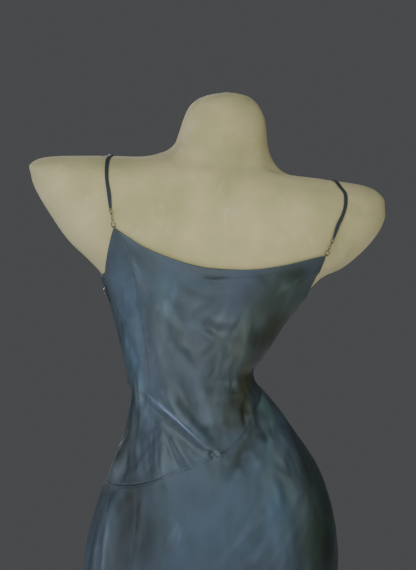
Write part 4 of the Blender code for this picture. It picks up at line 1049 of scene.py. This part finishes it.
def cloth_panel(name, spans, rows, edges, borders, finishes, row_power=1.0):
    """Shell of satin over one panel of the dress. Returns the object, its grid of points and
    how far above the panel's foot each one is."""
    u = crowded(spans)
    v = crowded([(1.0, rows)]) if row_power == 1.0 else np.linspace(0, 1, rows + 1)
    angle, level = np.moveaxis(coons(*edges, u, v), -1, 0)
    base = cloth_base(level, angle)
    from_left, from_top = run_along(base), run_along(base, 1)
    from_bottom = from_top[:, -1:] - from_top
    distances = (from_top, from_bottom, from_left, from_left[-1] - from_left)
    runs = (from_left, from_left, from_top, from_top)

    flat = base.reshape(-1, 3)
    normals = outward(cloth_base, level, angle).reshape(-1, 3)
    rise, shine = crease_rise(flat, normals)
    rise = rise + slack_rise(flat, level.ravel(), angle.ravel())
    calm, painted_shadow = 1.0, np.zeros(len(flat))
    for kind, distance in zip(borders, distances):
        if kind in ("edge", "hem"):
            calm = calm * (CALM_LEAST + (1 - CALM_LEAST) * smoothstep(distance / CALM_REACH))
        # painted highlight along the lapped edge, and a painted shadow on the line above it,
        # patchy along the seam
        if kind == "lap":
            shine = np.maximum(shine, bumps(distance, [LAP_PAINTED_HIGHLIGHT]).ravel())
            patchy = 0.55 + 0.28 * np.sin(41 * from_left + 1.0) + 0.17 * np.sin(97 * from_left)
            painted_shadow = (patchy * bumps(distance, [LAP_PAINTED_SHADOW])).ravel()
    rise = rise.reshape(level.shape) * calm
    for kind, distance, run in zip(borders, distances, runs):
        rise = rise + border_rise(kind, distance, run)
    floor = -(ease_at(level, angle) + form_inset(level) - WALL - COVER_CLEARANCE)
    rise = floor + np.logaddexp(0, (rise - floor) / FLOOR_SOFTNESS) * FLOOR_SOFTNESS

    points = cloth_base(level, angle, rise)
    every = slice(None)
    for border, inner in (((0, every), (1, every)), ((-1, every), (-2, every)),
                          ((every, 0), (every, 1)), ((every, -1), (every, -2))):
        inward = points[inner] - points[border]
        inward /= np.linalg.norm(inward, axis=-1, keepdims=True)
        points[border] += inward * SEAM_SLIT / 2
    uv = np.stack((from_left - from_left[len(u) // 2], -from_top), axis=-1)
    made = mesh_object(name, points.reshape(-1, 3), grid_faces(len(u), len(v)), finishes,
                       uv.reshape(-1, 2), 180)
    # painted highlight and polish of the crests, kept for the finish
    made.data.attributes.new("shine", "FLOAT", "POINT").data.foreach_set(
        "value", shine.astype(np.float32))
    # colour factors: the painted light and shade patches, darkened by the painted shadow above the
    # lap
    keep_tint(made, painted_light_at(flat, normals, name) * (1 - painted_shadow)[:, None])
    wall = made.modifiers.new("wall", "SOLIDIFY")
    wall.thickness = WALL
    wall.offset = -1.0
    wall.use_even_offset = False
    wall.material_offset = 1
    wall.material_offset_rim = 0
    return made, points, from_bottom


def laid(table):
    """Edge along a line of the table's rows."""
    return lambda u: along(table, u)


def round_edge(first, last, level_at):
    """Edge round the figure between two angles, at the level that each has."""
    def edge(u):
        angle = first + (last - first) * u
        return np.stack((angle, level_at(angle)), axis=-1)
    return edge


def hip_level(angle):
    return column_at(HIP_SEAM, angle, 0, 1)


def hem_level(angle):
    return np.full_like(angle, HEM_LEVEL)


RIGHT_HIP = float(hip_level(RIGHT_SIDE))


def down_seam(seam, row_power=1.0, turn=0.0):
    """Edge down a seam; a whole turn carries it to the panel on its other side."""
    top, foot = seam[0][1], seam[-1][1]

    def edge(v):
        level = top + (foot - top) * v ** row_power
        return np.stack((column_at(seam, level, 1, 0) + turn, level), axis=-1)
    return edge


def in_turn(*parts):
    """Edge made of several, each a share of the columns and its own edge."""
    total = sum(share for share, _ in parts)

    def edge(u):
        start, points = 0, np.zeros((len(u), 2))
        for share, part in parts:
            here = (u * total > start + 1e-9) | (start == 0)
            points[here] = part(np.clip((u * total - start) / share, 0, 1))[here]
            start += share
        return points
    return edge


def build_bodice(finishes):
    left_foot, princess_foot = ZIP_SEAM[-1][0], PRINCESS_SEAM[-1][0]
    right_seam = ((RIGHT_SIDE, ARMHOLE_RIGHT_BACK[-1][1]), (RIGHT_SIDE, RIGHT_HIP))
    borders = ("edge", "lap", "seam", "seam")
    side, _, _ = cloth_panel(
        "satin_back_side", [(1, 62)], BODICE_ROWS,
        (laid(ARMHOLE_LEFT_BACK), round_edge(left_foot, princess_foot, hip_level),
         down_seam(ZIP_SEAM), down_seam(PRINCESS_SEAM)), borders, finishes)
    back, _, _ = cloth_panel(
        "satin_back", [(15, 176), (4, 48)], BODICE_ROWS,
        (in_turn((15, laid(NECKLINE_BACK)), (4, laid(ARMHOLE_RIGHT_BACK))),
         round_edge(princess_foot, RIGHT_SIDE, hip_level),
         down_seam(PRINCESS_SEAM), down_seam(right_seam)), borders, finishes)
    front, _, _ = cloth_panel(
        "satin_front", [(7, 66), (9, 90), (8, 74)], BODICE_ROWS,
        (in_turn((7, laid(ARMHOLE_RIGHT_FRONT)), (9, laid(NECKLINE_FRONT)),
                 (8, laid(ARMHOLE_LEFT_FRONT))),
         round_edge(RIGHT_SIDE, left_foot + 360, hip_level),
         down_seam(right_seam), down_seam(ZIP_SEAM, turn=360)), borders, finishes)
    fit(side, "bodice_back_side")
    fit(back, "bodice_back")
    fit(front, "bodice_front")


def build_skirt(finishes):
    """Two panels of the skirt. Returns, for each, its points and how far they are up."""
    (left_top, _), (left_foot, _) = SKIRT_SEAM_LEFT[0], SKIRT_SEAM_LEFT[-1]
    princess_foot = PRINCESS_SEAM[-1][0]
    right_seam = ((RIGHT_SIDE, RIGHT_HIP), (RIGHT_SIDE, HEM_LEVEL))
    borders = ("seam", "hem", "quiet", "quiet")
    back, *back_hem = cloth_panel(
        "satin_skirt_back", [(1, 216)], SKIRT_ROWS,
        (in_turn((5, round_edge(left_top, princess_foot, hip_level)),
                 (19, round_edge(princess_foot, RIGHT_SIDE, hip_level))),
         round_edge(left_foot, RIGHT_SIDE, hem_level),
         down_seam(SKIRT_SEAM_LEFT, SKIRT_ROW_POWER), down_seam(right_seam, SKIRT_ROW_POWER)),
        borders, finishes, SKIRT_ROW_POWER)
    front, *front_hem = cloth_panel(
        "satin_skirt_front", [(1, 240)], SKIRT_ROWS,
        (round_edge(RIGHT_SIDE, left_top + 360, hip_level),
         round_edge(RIGHT_SIDE, left_foot + 360, hem_level),
         down_seam(right_seam, SKIRT_ROW_POWER),
         down_seam(SKIRT_SEAM_LEFT, SKIRT_ROW_POWER, turn=360)),
        borders, finishes, SKIRT_ROW_POWER)
    fit(back, "skirt_back")
    fit(front, "skirt_front")
    return back_hem, front_hem


# ---------------------------------------------------------------- form and stand
def softened_neck(points, angles):
    """Eases the turn from the neck into the shoulders, behind and in front."""
    sine = np.abs(np.sin(np.radians(angles)))
    facing = smoothstep((sine - NECK_FACING) / FACING_FADE)[:, None]
    level, (low, high) = points[..., 2], NECK_TURN
    share = facing * smoothstep((level - low) / NECK_FADE) * smoothstep((high - level) / NECK_FADE)
    eased = points.copy()
    for _ in range(NECK_PASSES):
        eased[:, 1:-1] = (eased[:, :-2] + 2 * eased[:, 1:-1] + eased[:, 2:]) / 4
    return points + share[..., None] * (eased - points)


def build_form(jersey):
    """The form's fine skin: even rings down the figure, then a rounded foot."""
    columns, side_foot = FORM_COLUMNS, FORM_BOTTOM + FORM_EDGE_RADIUS
    angles = np.arange(columns) * 360 / columns
    starts, counts = zip(*FORM_RINGS)
    ends = (*starts[1:], np.interp(-side_foot, -LEVELS, PLACES))
    places = np.concatenate([np.linspace(*span)[:-1] for span in zip(starts, ends, counts)]
                            + [ends[-1:]])
    rings = [section_points(rows_at(FIGURE, np.full(columns, place)), angles,
                            -form_inset(rows_at(FIGURE, place)[HEIGHT])) for place in places]
    foot_tilt = sections_at(side_foot)[TILT]
    for turn in np.linspace(0, math.pi / 2, FORM_FOOT_RINGS)[1:]:
        level = FORM_BOTTOM + FORM_EDGE_RADIUS * (1 - math.sin(turn))
        section = sections_at(np.full(columns, level))
        section[:, TILT] = foot_tilt * (1 - math.sin(turn))
        inset = FORM_EDGE_RADIUS * (1 - math.cos(turn)) + form_inset(level)
        rings.append(section_points(section, angles, -inset))
    points = np.array(rings).transpose(1, 0, 2)
    run = run_along(points, 1)
    points = softened_neck(points, angles)

    rows = points.shape[1]
    faces = grid_faces(columns, rows, closed=True).tolist()
    vertices = points.reshape(-1, 3).tolist()
    top, foot = len(vertices), len(vertices) + 1
    vertices += [(float(FIGURE[0, CENTRE_X]), 0.0, float(FIGURE[0, HEIGHT])),
                 (float(points[:, -1, 0].mean()), 0.0, FORM_BOTTOM)]
    for k in range(columns):
        after = (k + 1) % columns
        faces.append((top, k * rows, after * rows))
        faces.append((k * rows + rows - 1, foot, after * rows + rows - 1))
    girth = FORM_GIRTH * angles[:, None] / 360 + 0 * run
    uv = np.stack((girth, -run), axis=-1).reshape(-1, 2).tolist() + [(0.0, 0.0), (0.0, -0.8)]
    form = mesh_object("form_cover", vertices, faces, [jersey], uv, 180)
    fix_normals(form)
    fit(form, "form_torso")
    return form


def build_form_seam(cover, jersey):
    """The form's centre-back seam, a fine puckered ridge down the jersey."""
    levels = np.linspace(*FORM_SEAM_RUN)
    found = [cover.ray_cast(Vector((x, 0.3, level)), Vector((0, -1, 0)))[:2]
             for level, x in zip(levels, np.interp(-levels, *FORM_SEAM))]
    run = np.arange(len(found)) * 0.001
    girth = 0.8 + 0.25 * np.sin(run * 900 + 3 * np.sin(run * 130)) + 0.15 * np.sin(run * 47)
    spine, normals = zip(*found)
    fit(sweep("form_seam", spine, normals, round_profile(*SEAM_RIDGE, 8), jersey, scale=girth))


def lathe(name, outline, material, turns):
    """Solid of revolution about +Z from an outline of (radius, height) rows, top to bottom."""
    radii, heights = np.array(outline, float).T
    angles = np.arange(turns) * 2 * math.pi / turns
    points = np.stack((np.outer(np.cos(angles), radii), np.outer(np.sin(angles), radii),
                       np.tile(heights, (turns, 1))), axis=-1)
    rows = len(outline)
    faces = grid_faces(turns, rows, closed=True).tolist()
    faces.append([k * rows for k in range(turns)])
    faces.append([k * rows + rows - 1 for k in reversed(range(turns))])
    made = mesh_object(name, points.reshape(-1, 3), faces, [material], smooth_angle=30)
    fix_normals(made)
    return made


def build_stand(painted):
    foot, top = BASE_HEIGHT + FIT_GAP, FORM_BOTTOM - FIT_GAP
    collar = [(radius, foot + rise) for radius, rise in COLLAR_OUTLINE]
    tube = [(POLE_RADIUS - 0.001, top), (POLE_RADIUS, top - 0.001), *collar]
    fit(lathe("base_plate", BASE_OUTLINE, painted, 96), "stand_base")
    fit(lathe("pole_tube", tube, painted, 64), "stand_pole")


# ---------------------------------------------------------------- straps and their hardware
def bvh_of(obj):
    return BVHTree.FromPolygons([v.co for v in obj.data.vertices],
                                [p.vertices for p in obj.data.polygons])


def on_form(tree, swing, x):
    """Place and normal of a form's surface at a swing round the shoulders' axis and an x."""
    turn = math.radians(swing)
    aim = Vector((0, math.cos(turn), math.sin(turn)))
    return tree.ray_cast(Vector((x, 0, SHOULDER_AXIS)), aim)[:2]


def swing_of(point):
    return (math.degrees(math.atan2(point.z - SHOULDER_AXIS, point.y)) + 90) % 360 - 90


def smooth_normal(tree, swing, x):
    near = [on_form(tree, swing + turn, x + aside)[1]
            for turn in (-4, 0, 4) for aside in (-0.006, 0, 0.006)]
    return sum(near, Vector((0, 0, 0))).normalized()


def solid_point(angle, level):
    """Place on the solids' outer face, which the fittings were set on."""
    return Vector(cloth_base(np.array(level), np.array(angle)))


def frame_at(place, x_axis, y_axis, z_axis):
    turn = Matrix((x_axis, y_axis, z_axis)).transposed().to_4x4()
    return Matrix.Translation(place) @ turn


def oval_path(radius, straight, count):
    """Points of a ring pulled apart along X by its straight length."""
    turns = np.linspace(0, 2 * math.pi, count, endpoint=False) + math.pi / count
    points = np.stack((radius * np.cos(turns), radius * np.sin(turns), 0 * turns), axis=-1)
    points[:, 0] += np.copysign(straight / 2, points[:, 0])
    return points


def wire_ring(name, frame, radius, straight, wire, count, material):
    wire += WIRE_STOUTER
    ring = sweep(name, oval_path(radius + WIRE_STOUTER, straight, count), UP,
                 round_profile(2 * wire, 2 * wire, 12), material, closed=True)
    ring.data.transform(frame)
    return ring


def lobster_clasp(name, frame, gold):
    """Claw with a sprung gate and its lever, swivelling on a small eye, along the frame's X."""
    turns = np.linspace(*HOOK_TURNS, HOOK_STEPS)
    hook = np.stack((HOOK_MIDDLE + HOOK_LONG * np.cos(turns), HOOK_WIDE * np.sin(turns),
                     0 * turns), axis=-1)
    thick = np.interp(np.linspace(0, 1, HOOK_STEPS), *HOOK_SWELL)
    eye = oval_path(CLASP_EYE, 0.0, 24) \
        - (CLASP_STRAIGHT / 2 + CLASP_RADIUS - EYE_OVERLAP, 0, 0)
    clasp = joined(name, [
        sweep("claw", hook, UP, round_profile(0.0017, 0.0019, 12, 2.6), gold, scale=thick),
        *(sweep(part, path, UP, round_profile(*size), gold, scale=swell)
          for part, path, *size, swell in CLASP_PARTS),
        sweep("eye", eye, UP, round_profile(EYE_WIRE, EYE_WIRE, 10), gold, closed=True)], gold)
    clasp.data.transform(frame)
    return clasp


def thread_wraps(name, frame, thread):
    """Turns of thread that hold a ring to the cloth, spread round its foot."""
    parts = []
    for k in range(WRAPS):
        angle = math.radians(180 + (k - (WRAPS - 1) / 2) * WRAP_TURN)
        away = Vector((math.cos(angle), math.sin(angle), 0))
        turn = Matrix.Rotation(angle, 4, "Z") @ Matrix.Rotation(math.pi / 2, 4, "X")
        wrap = sweep(f"wrap_{k}", oval_path(WRAP_RADIUS, WRAP_STRAIGHT, 16), UP,
                     round_profile(WRAP_THREAD, WRAP_THREAD, 8), thread, closed=True)
        wrap.data.transform(Matrix.Translation(away * (RING_RADIUS + WRAP_OFF)) @ turn)
        parts.append(wrap)
    wraps = joined(name, parts, thread)
    wraps.data.transform(frame)
    return wraps


def build_chain(tree, side, corner, gold, thread):
    """Ring, links and clasp in the places of their solids; returns the strap's back end."""
    toward, _ = on_form(tree, *STRAPS[side][0])
    out = smooth_normal(tree, swing_of(corner), corner.x)
    up = toward + out * CHAIN_LIFT - corner
    up = (up - out * up.dot(out) / 2).normalized()
    out = (out - up * out.dot(up)).normalized()
    origin = corner - out * CAD_CLOTH / 2 + up * (RING_RADIUS + RING_WIRE + FIT_GAP)
    aside = out.cross(up)
    flat, standing = (up, aside, out), (up, out, -aside)

    def frame(reach, axes):
        return frame_at(origin + up * reach, *axes)
    ring = wire_ring("gold_ring_" + side, frame(0, flat), RING_RADIUS, 0, RING_WIRE, 40, gold)
    fit(ring, "ring_" + side)
    fit(thread_wraps("ring_threads_" + side, frame(0, flat), thread))
    bearing, half_link = RING_RADIUS - RING_WIRE, LINK_RADIUS + LINK_STRAIGHT / 2
    for k in range(LINKS):
        middle = bearing - LINK_PLAY - LINK_WIRE + half_link
        name = f"link_{side}_{k + 1}"
        piece = wire_ring("gold_" + name, frame(middle, flat if k % 2 else standing),
                          LINK_RADIUS, LINK_STRAIGHT, LINK_WIRE, 28, gold)
        fit(piece, name)
        bearing = middle + half_link - LINK_WIRE
    half_clasp = CLASP_RADIUS + CLASP_STRAIGHT / 2
    middle = bearing - LINK_PLAY - CLASP_WIRE + half_clasp
    clasp = lobster_clasp("gold_clasp_" + side, frame(middle, flat), gold)
    fit(clasp, "clasp_" + side)
    fit(wire_ring("strap_loop_" + side, frame(middle + half_clasp + LOOP_OFF, standing),
                  LOOP_RADIUS, LOOP_STRAIGHT, LOOP_WIRE, 28, thread))
    return origin + up * (middle + half_clasp + CLASP_WIRE + FIT_GAP)


def build_strap(tree, side, back_end, front_end, satin):
    """Turned satin tube, pressed flat, over the shoulder from the clasp to the front."""
    first, last = (swing_of(back_end), back_end.x), (swing_of(front_end), front_end.x)
    stops = [first, *(stop for stop in STRAPS[side] if stop[0] > first[0] + 6), last]
    spine, normals = [], []
    for swing in np.linspace(first[0], last[0], STRAP_STEPS + 1):
        x = float(column_at(stops, swing, 0, 1))
        normals.append(smooth_normal(tree, swing, x))
        spine.append(on_form(tree, swing, x)[0] + normals[-1] * (STRAP_LIFT + STRAP_THICK / 2))
    spine = np.array(spine)
    step = np.arange(STRAP_STEPS + 1)[:, None]
    spine += (smoothstep(1 - step / STRAP_END_STEPS) * (np.array(back_end) - spine[0])
              + smoothstep(1 - step[::-1] / STRAP_END_STEPS) * (np.array(front_end) - spine[-1]))
    spine[1:-1] = (spine[:-2] + 2 * spine[1:-1] + spine[2:]) / 4
    share = np.linspace(0, 1, STRAP_STEPS + 1)
    strap = sweep("satin_strap_" + side, spine, normals,
                  round_profile(STRAP_WIDTH, STRAP_THICK, 20, 2.4), satin,
                  scale=1 + bumps(share, STRAP_GATHERS) + 0.05 * np.sin(share * 23))
    keep_tint(strap, np.tile(STRAP_TINT, (len(strap.data.vertices), 1)))
    fit(strap, "strap_" + side)


# ---------------------------------------------------------------- zip
def zip_frame():
    """Frame of the slider: X down the seam, Y round the figure, Z out."""
    angle = float(column_at(ZIP_SEAM, SLIDER_LEVEL, 1, 0))
    here, below, above = (solid_point(angle, SLIDER_LEVEL + rise) for rise in (0, -0.004, 0.004))
    down = (below - above).normalized()
    aside = solid_point(angle + 2, SLIDER_LEVEL) - solid_point(angle - 2, SLIDER_LEVEL)
    out = down.cross(aside).normalized()
    return frame_at(here + out * FIT_GAP, down, out.cross(down), out)


def rounded_plate(name, outline, low, high, material, bevel):
    """Plate from a flat outline, with softened edges."""
    bm = bmesh.new()
    bm.faces.new([bm.verts.new((x, y, low)) for x, y in outline])
    made = bmesh.ops.extrude_face_region(bm, geom=bm.faces[:])
    top = [v for v in made["geom"] if isinstance(v, bmesh.types.BMVert)]
    bmesh.ops.translate(bm, vec=(0, 0, high - low), verts=top)
    bmesh.ops.recalc_face_normals(bm, faces=bm.faces)
    mesh = bpy.data.meshes.new(name)
    bm.to_mesh(mesh)
    bm.free()
    mesh.materials.append(material)
    plate = link(bpy.data.objects.new(name, mesh))
    soft = plate.modifiers.new("soft_edges", "BEVEL")
    soft.width = bevel
    soft.segments = 3
    soft.limit_method = "ANGLE"
    return plate


def build_zip(metal):
    frame = zip_frame()
    half_length, half_width = SLIDER_LENGTH / 2, SLIDER_WIDTH / 2
    edge = [(half_length * down, half_width * wide) for down, wide in SLIDER_OUTLINE]
    body = [(x, -y) for x, y in edge] + edge[::-1]
    arch = np.linspace(0, math.pi, 17)
    bail = np.stack((-(BAIL_LENGTH / 2 - BAIL_INSET) * signed_power(np.cos(arch), 0.7),
                     0 * arch, SLIDER_THICK - BAIL_SUNK + (BAIL_HEIGHT - BAIL_INSET)
                     * signed_power(np.sin(arch), 0.7)), axis=-1)
    slider = joined("gold_slider", [
        rounded_plate("slider_body", body, 0.0, SLIDER_THICK, metal, SLIDER_BEVEL),
        sweep("bail", bail, (0.0, 1.0, 0.0), round_profile(BAIL_THICK, BAIL_WIDTH, 10, 3.0),
              metal)], metal, 40)
    slider.data.transform(frame)
    fit(slider, "zip_slider")

    loop = oval_path(EYE_RADIUS, EYE_STRAIGHT, 28) + (EYE_RADIUS + EYE_STRAIGHT / 2, 0, 0)
    tip, half, neck = PULL_LENGTH - PULL_BAR / 2, PULL_WIDTH / 2, EYE_END + PULL_NECK
    turns = np.linspace(-math.pi / 2, math.pi / 2, 13)
    tag = [(EYE_END, -half * PULL_EYE_SHARE), (neck, -half * PULL_NECK_SHARE),
           *((tip - half + half * math.cos(t), half * math.sin(t)) for t in turns),
           (neck, half * PULL_NECK_SHARE), (EYE_END, half * PULL_EYE_SHARE)]
    pull = joined("gold_pull", [
        sweep("eye", loop, UP, round_profile(PULL_BAR, PULL_THICK, 10, 3.0), metal, closed=True),
        rounded_plate("tag", tag, -PULL_THICK / 2, PULL_THICK / 2, metal, PULL_BEVEL)],
        metal, 40)
    pull.data.transform(frame @ Matrix.Translation((0, 0, SLIDER_THICK + PIVOT_HEIGHT)))
    fit(pull, "zip_pull", "zip_pull")


# ---------------------------------------------------------------- stitches round the hem
def stitch_tree():
    """Geometry nodes: one stitch of thread after another along a line."""
    nodes, (line, pitch, length, thickness, thread) = new_group(
        "stitches_along_line", "Geometry", "GeometryNodeTree", "NodeSocketGeometry",
        Geometry="NodeSocketGeometry", **STITCH, Finish="NodeSocketMaterial")
    spots = nodes.add("GeometryNodeCurveToPoints", nodes.add("GeometryNodeMeshToCurve", line),
                      mode="LENGTH", Length=pitch)
    size = nodes.add("ShaderNodeCombineXYZ", thickness, thickness, length)
    bead = nodes.add("GeometryNodeMeshUVSphere", Segments=6, Rings=5, Radius=0.5)
    stitch = nodes.add("GeometryNodeTransform", bead, Scale=size)
    row = nodes.add("GeometryNodeInstanceOnPoints", spots, Instance=stitch,
                    Rotation=spots.outputs["Rotation"])
    real = nodes.add("GeometryNodeRealizeInstances", row)
    sewn = nodes.add("GeometryNodeSetMaterial", real, Material=thread)
    nodes.add("NodeGroupOutput", nodes.add("GeometryNodeSetShadeSmooth", sewn))
    return nodes.tree


def stitched(name, path, tree, **values):
    """A closed row of stitches along a path, as a plain mesh."""
    mesh = bpy.data.meshes.new(name)
    edges = [(k, (k + 1) % len(path)) for k in range(len(path))]
    mesh.from_pydata([tuple(p) for p in path], edges, [])
    obj = link(bpy.data.objects.new(name, mesh))
    row = obj.modifiers.new("row", "NODES")
    row.node_group = tree
    for item in tree.interface.items_tree:
        if item.in_out == "INPUT" and item.name in values:
            row[item.identifier] = values[item.name]
    made = evaluated_mesh(obj)
    obj.modifiers.clear()
    obj.data = made
    bpy.data.meshes.remove(mesh)
    return obj


def hem_line(points, from_bottom):
    """Line round a panel above its hem, just proud of the cloth."""
    line = np.array([[np.interp(-HEM_DEPTH, -up, column[:, k]) for k in range(3)]
                     for column, up in zip(points, from_bottom)])
    away = line * (1, 1, 0)
    return line + away / np.linalg.norm(away, axis=1, keepdims=True) * STITCH_PROUD


def build_stitching(back_hem, front_hem, thread):
    path = np.concatenate((hem_line(*back_hem), hem_line(*front_hem)))
    fit(stitched("hem_stitches", path, stitch_tree(), Finish=thread, **STITCH))


# ---------------------------------------------------------------- stage, light and camera
def build_stage():
    """A plain pale round floor; nothing stands behind the dress."""
    pale = finish("pale_floor", lambda nodes: {}, Roughness=0.85,
                  Base_Color=(0.74, 0.74, 0.73, 1))
    turns = [2 * math.pi * k / 96 for k in range(96)]
    rim = [(FLOOR_RADIUS * math.cos(turn), FLOOR_RADIUS * math.sin(turn), FLOOR_LEVEL)
           for turn in turns]
    mesh_object("floor", rim, [range(96)], [pale])


def build_light():
    for name, place, aim_height, size, power, colour in SOFTBOXES:
        data = bpy.data.lights.new(name, "AREA")
        data.shape = "DISK"
        data.size = size
        data.energy = power
        data.color = colour
        lamp = link(bpy.data.objects.new(name, data))
        lamp.location = place
        aim = Vector((0, 0, aim_height)) - Vector(place)
        lamp.rotation_euler = aim.to_track_quat("-Z", "Y").to_euler()
    world = bpy.data.worlds.new("studio_air")
    world.use_nodes = True
    air = world.node_tree.nodes["Background"].inputs
    air["Color"].default_value = AIR_COLOUR
    air["Strength"].default_value = AIR_STRENGTH
    bpy.context.scene.world = world


def build_camera():
    """Camera behind the dress, a little above its aim."""
    data = bpy.data.cameras.new("camera")
    data.sensor_fit = "VERTICAL"
    data.sensor_height = 24.0
    data.lens = data.sensor_height * CAMERA_DISTANCE / VIEW_HEIGHT
    camera = link(bpy.data.objects.new("camera", data))
    away = Vector((0, math.cos(CAMERA_LIFT), math.sin(CAMERA_LIFT))) * CAMERA_DISTANCE
    camera.location = Vector(CAMERA_AIM) + away
    camera.rotation_euler = (math.pi / 2 - CAMERA_LIFT, 0, math.pi)
    bpy.context.scene.camera = camera


# ---------------------------------------------------------------- the whole
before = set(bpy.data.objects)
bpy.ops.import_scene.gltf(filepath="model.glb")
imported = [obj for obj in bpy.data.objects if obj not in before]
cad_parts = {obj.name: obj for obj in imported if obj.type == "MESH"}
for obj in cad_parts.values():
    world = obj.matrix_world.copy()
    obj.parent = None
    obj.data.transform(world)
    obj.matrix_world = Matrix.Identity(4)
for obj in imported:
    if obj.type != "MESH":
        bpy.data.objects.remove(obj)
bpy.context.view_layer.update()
build_camera()
build_light()
build_stage()

GROUPS = {"tone": tone_group(), "satin": satin_group(), "rumple": rumple_group(),
          "knit": knit_group()}
SATIN = cloth_finish("slate_satin", SATIN_COLOURS, (0.46, 0.54), SATIN_YARN, RUMPLES,
                     tinted=1.0, Metallic=0.65, Specular_IOR_Level=0.5, Anisotropic=0.3)
STRAP_SATIN = cloth_finish("slate_satin_tube", SATIN_COLOURS, (0.66, 0.74), SATIN_YARN,
                           (300.0, 0.00004), tinted=1.0, Specular_IOR_Level=0.15)
SATIN_WRONG = cloth_finish("satin_wrong_side", WRONG_SIDE, (0.72, 0.85), (0.0003, 0.00002),
                           RUMPLES, Specular_IOR_Level=0.3, Sheen_Weight=0.1)
THREAD = cloth_finish("slate_thread", THREAD_SLATE, (0.5, 0.6), (0.0001, 0.00001),
                      (300.0, 0.00002), Specular_IOR_Level=0.4, Sheen_Weight=0.2)
JERSEY = jersey_finish()
GOLD = metal_finish("pale_gold_plate", PALE_GOLD, (0.10, 0.20), 900.0, Metallic=1.0)
NICKEL = metal_finish("nickel_plate", DULL_NICKEL, (0.28, 0.40), 900.0, Metallic=1.0)
PAINTED = metal_finish("black_painted_metal", BLACK_PAINT, (0.38, 0.55), 60.0,
                       Metallic=0.0, Coat_Weight=0.3, Coat_Roughness=0.25)

CREASE_LINES = crease_lines()
build_bodice([SATIN, SATIN_WRONG])
hems = build_skirt([SATIN, SATIN_WRONG])
form_cover = build_form(JERSEY)
build_stand(PAINTED)

solid_tree = bvh_of(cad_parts["form_torso"])
cover_tree = bvh_of(form_cover)
for strap_side, back_corner, front_tip in (("left", PRINCESS_SEAM[0], NECKLINE_FRONT[-1]),
                                           ("right", NECKLINE_BACK[-1], NECKLINE_FRONT[0])):
    strap_back = build_chain(solid_tree, strap_side, solid_point(*back_corner), GOLD, THREAD)
    strap_front = solid_point(front_tip[0], front_tip[1] + 0.0006)
    build_strap(cover_tree, strap_side, strap_back, strap_front, STRAP_SATIN)
build_zip(NICKEL)
build_form_seam(cover_tree, JERSEY)
build_stitching(*hems, THREAD)
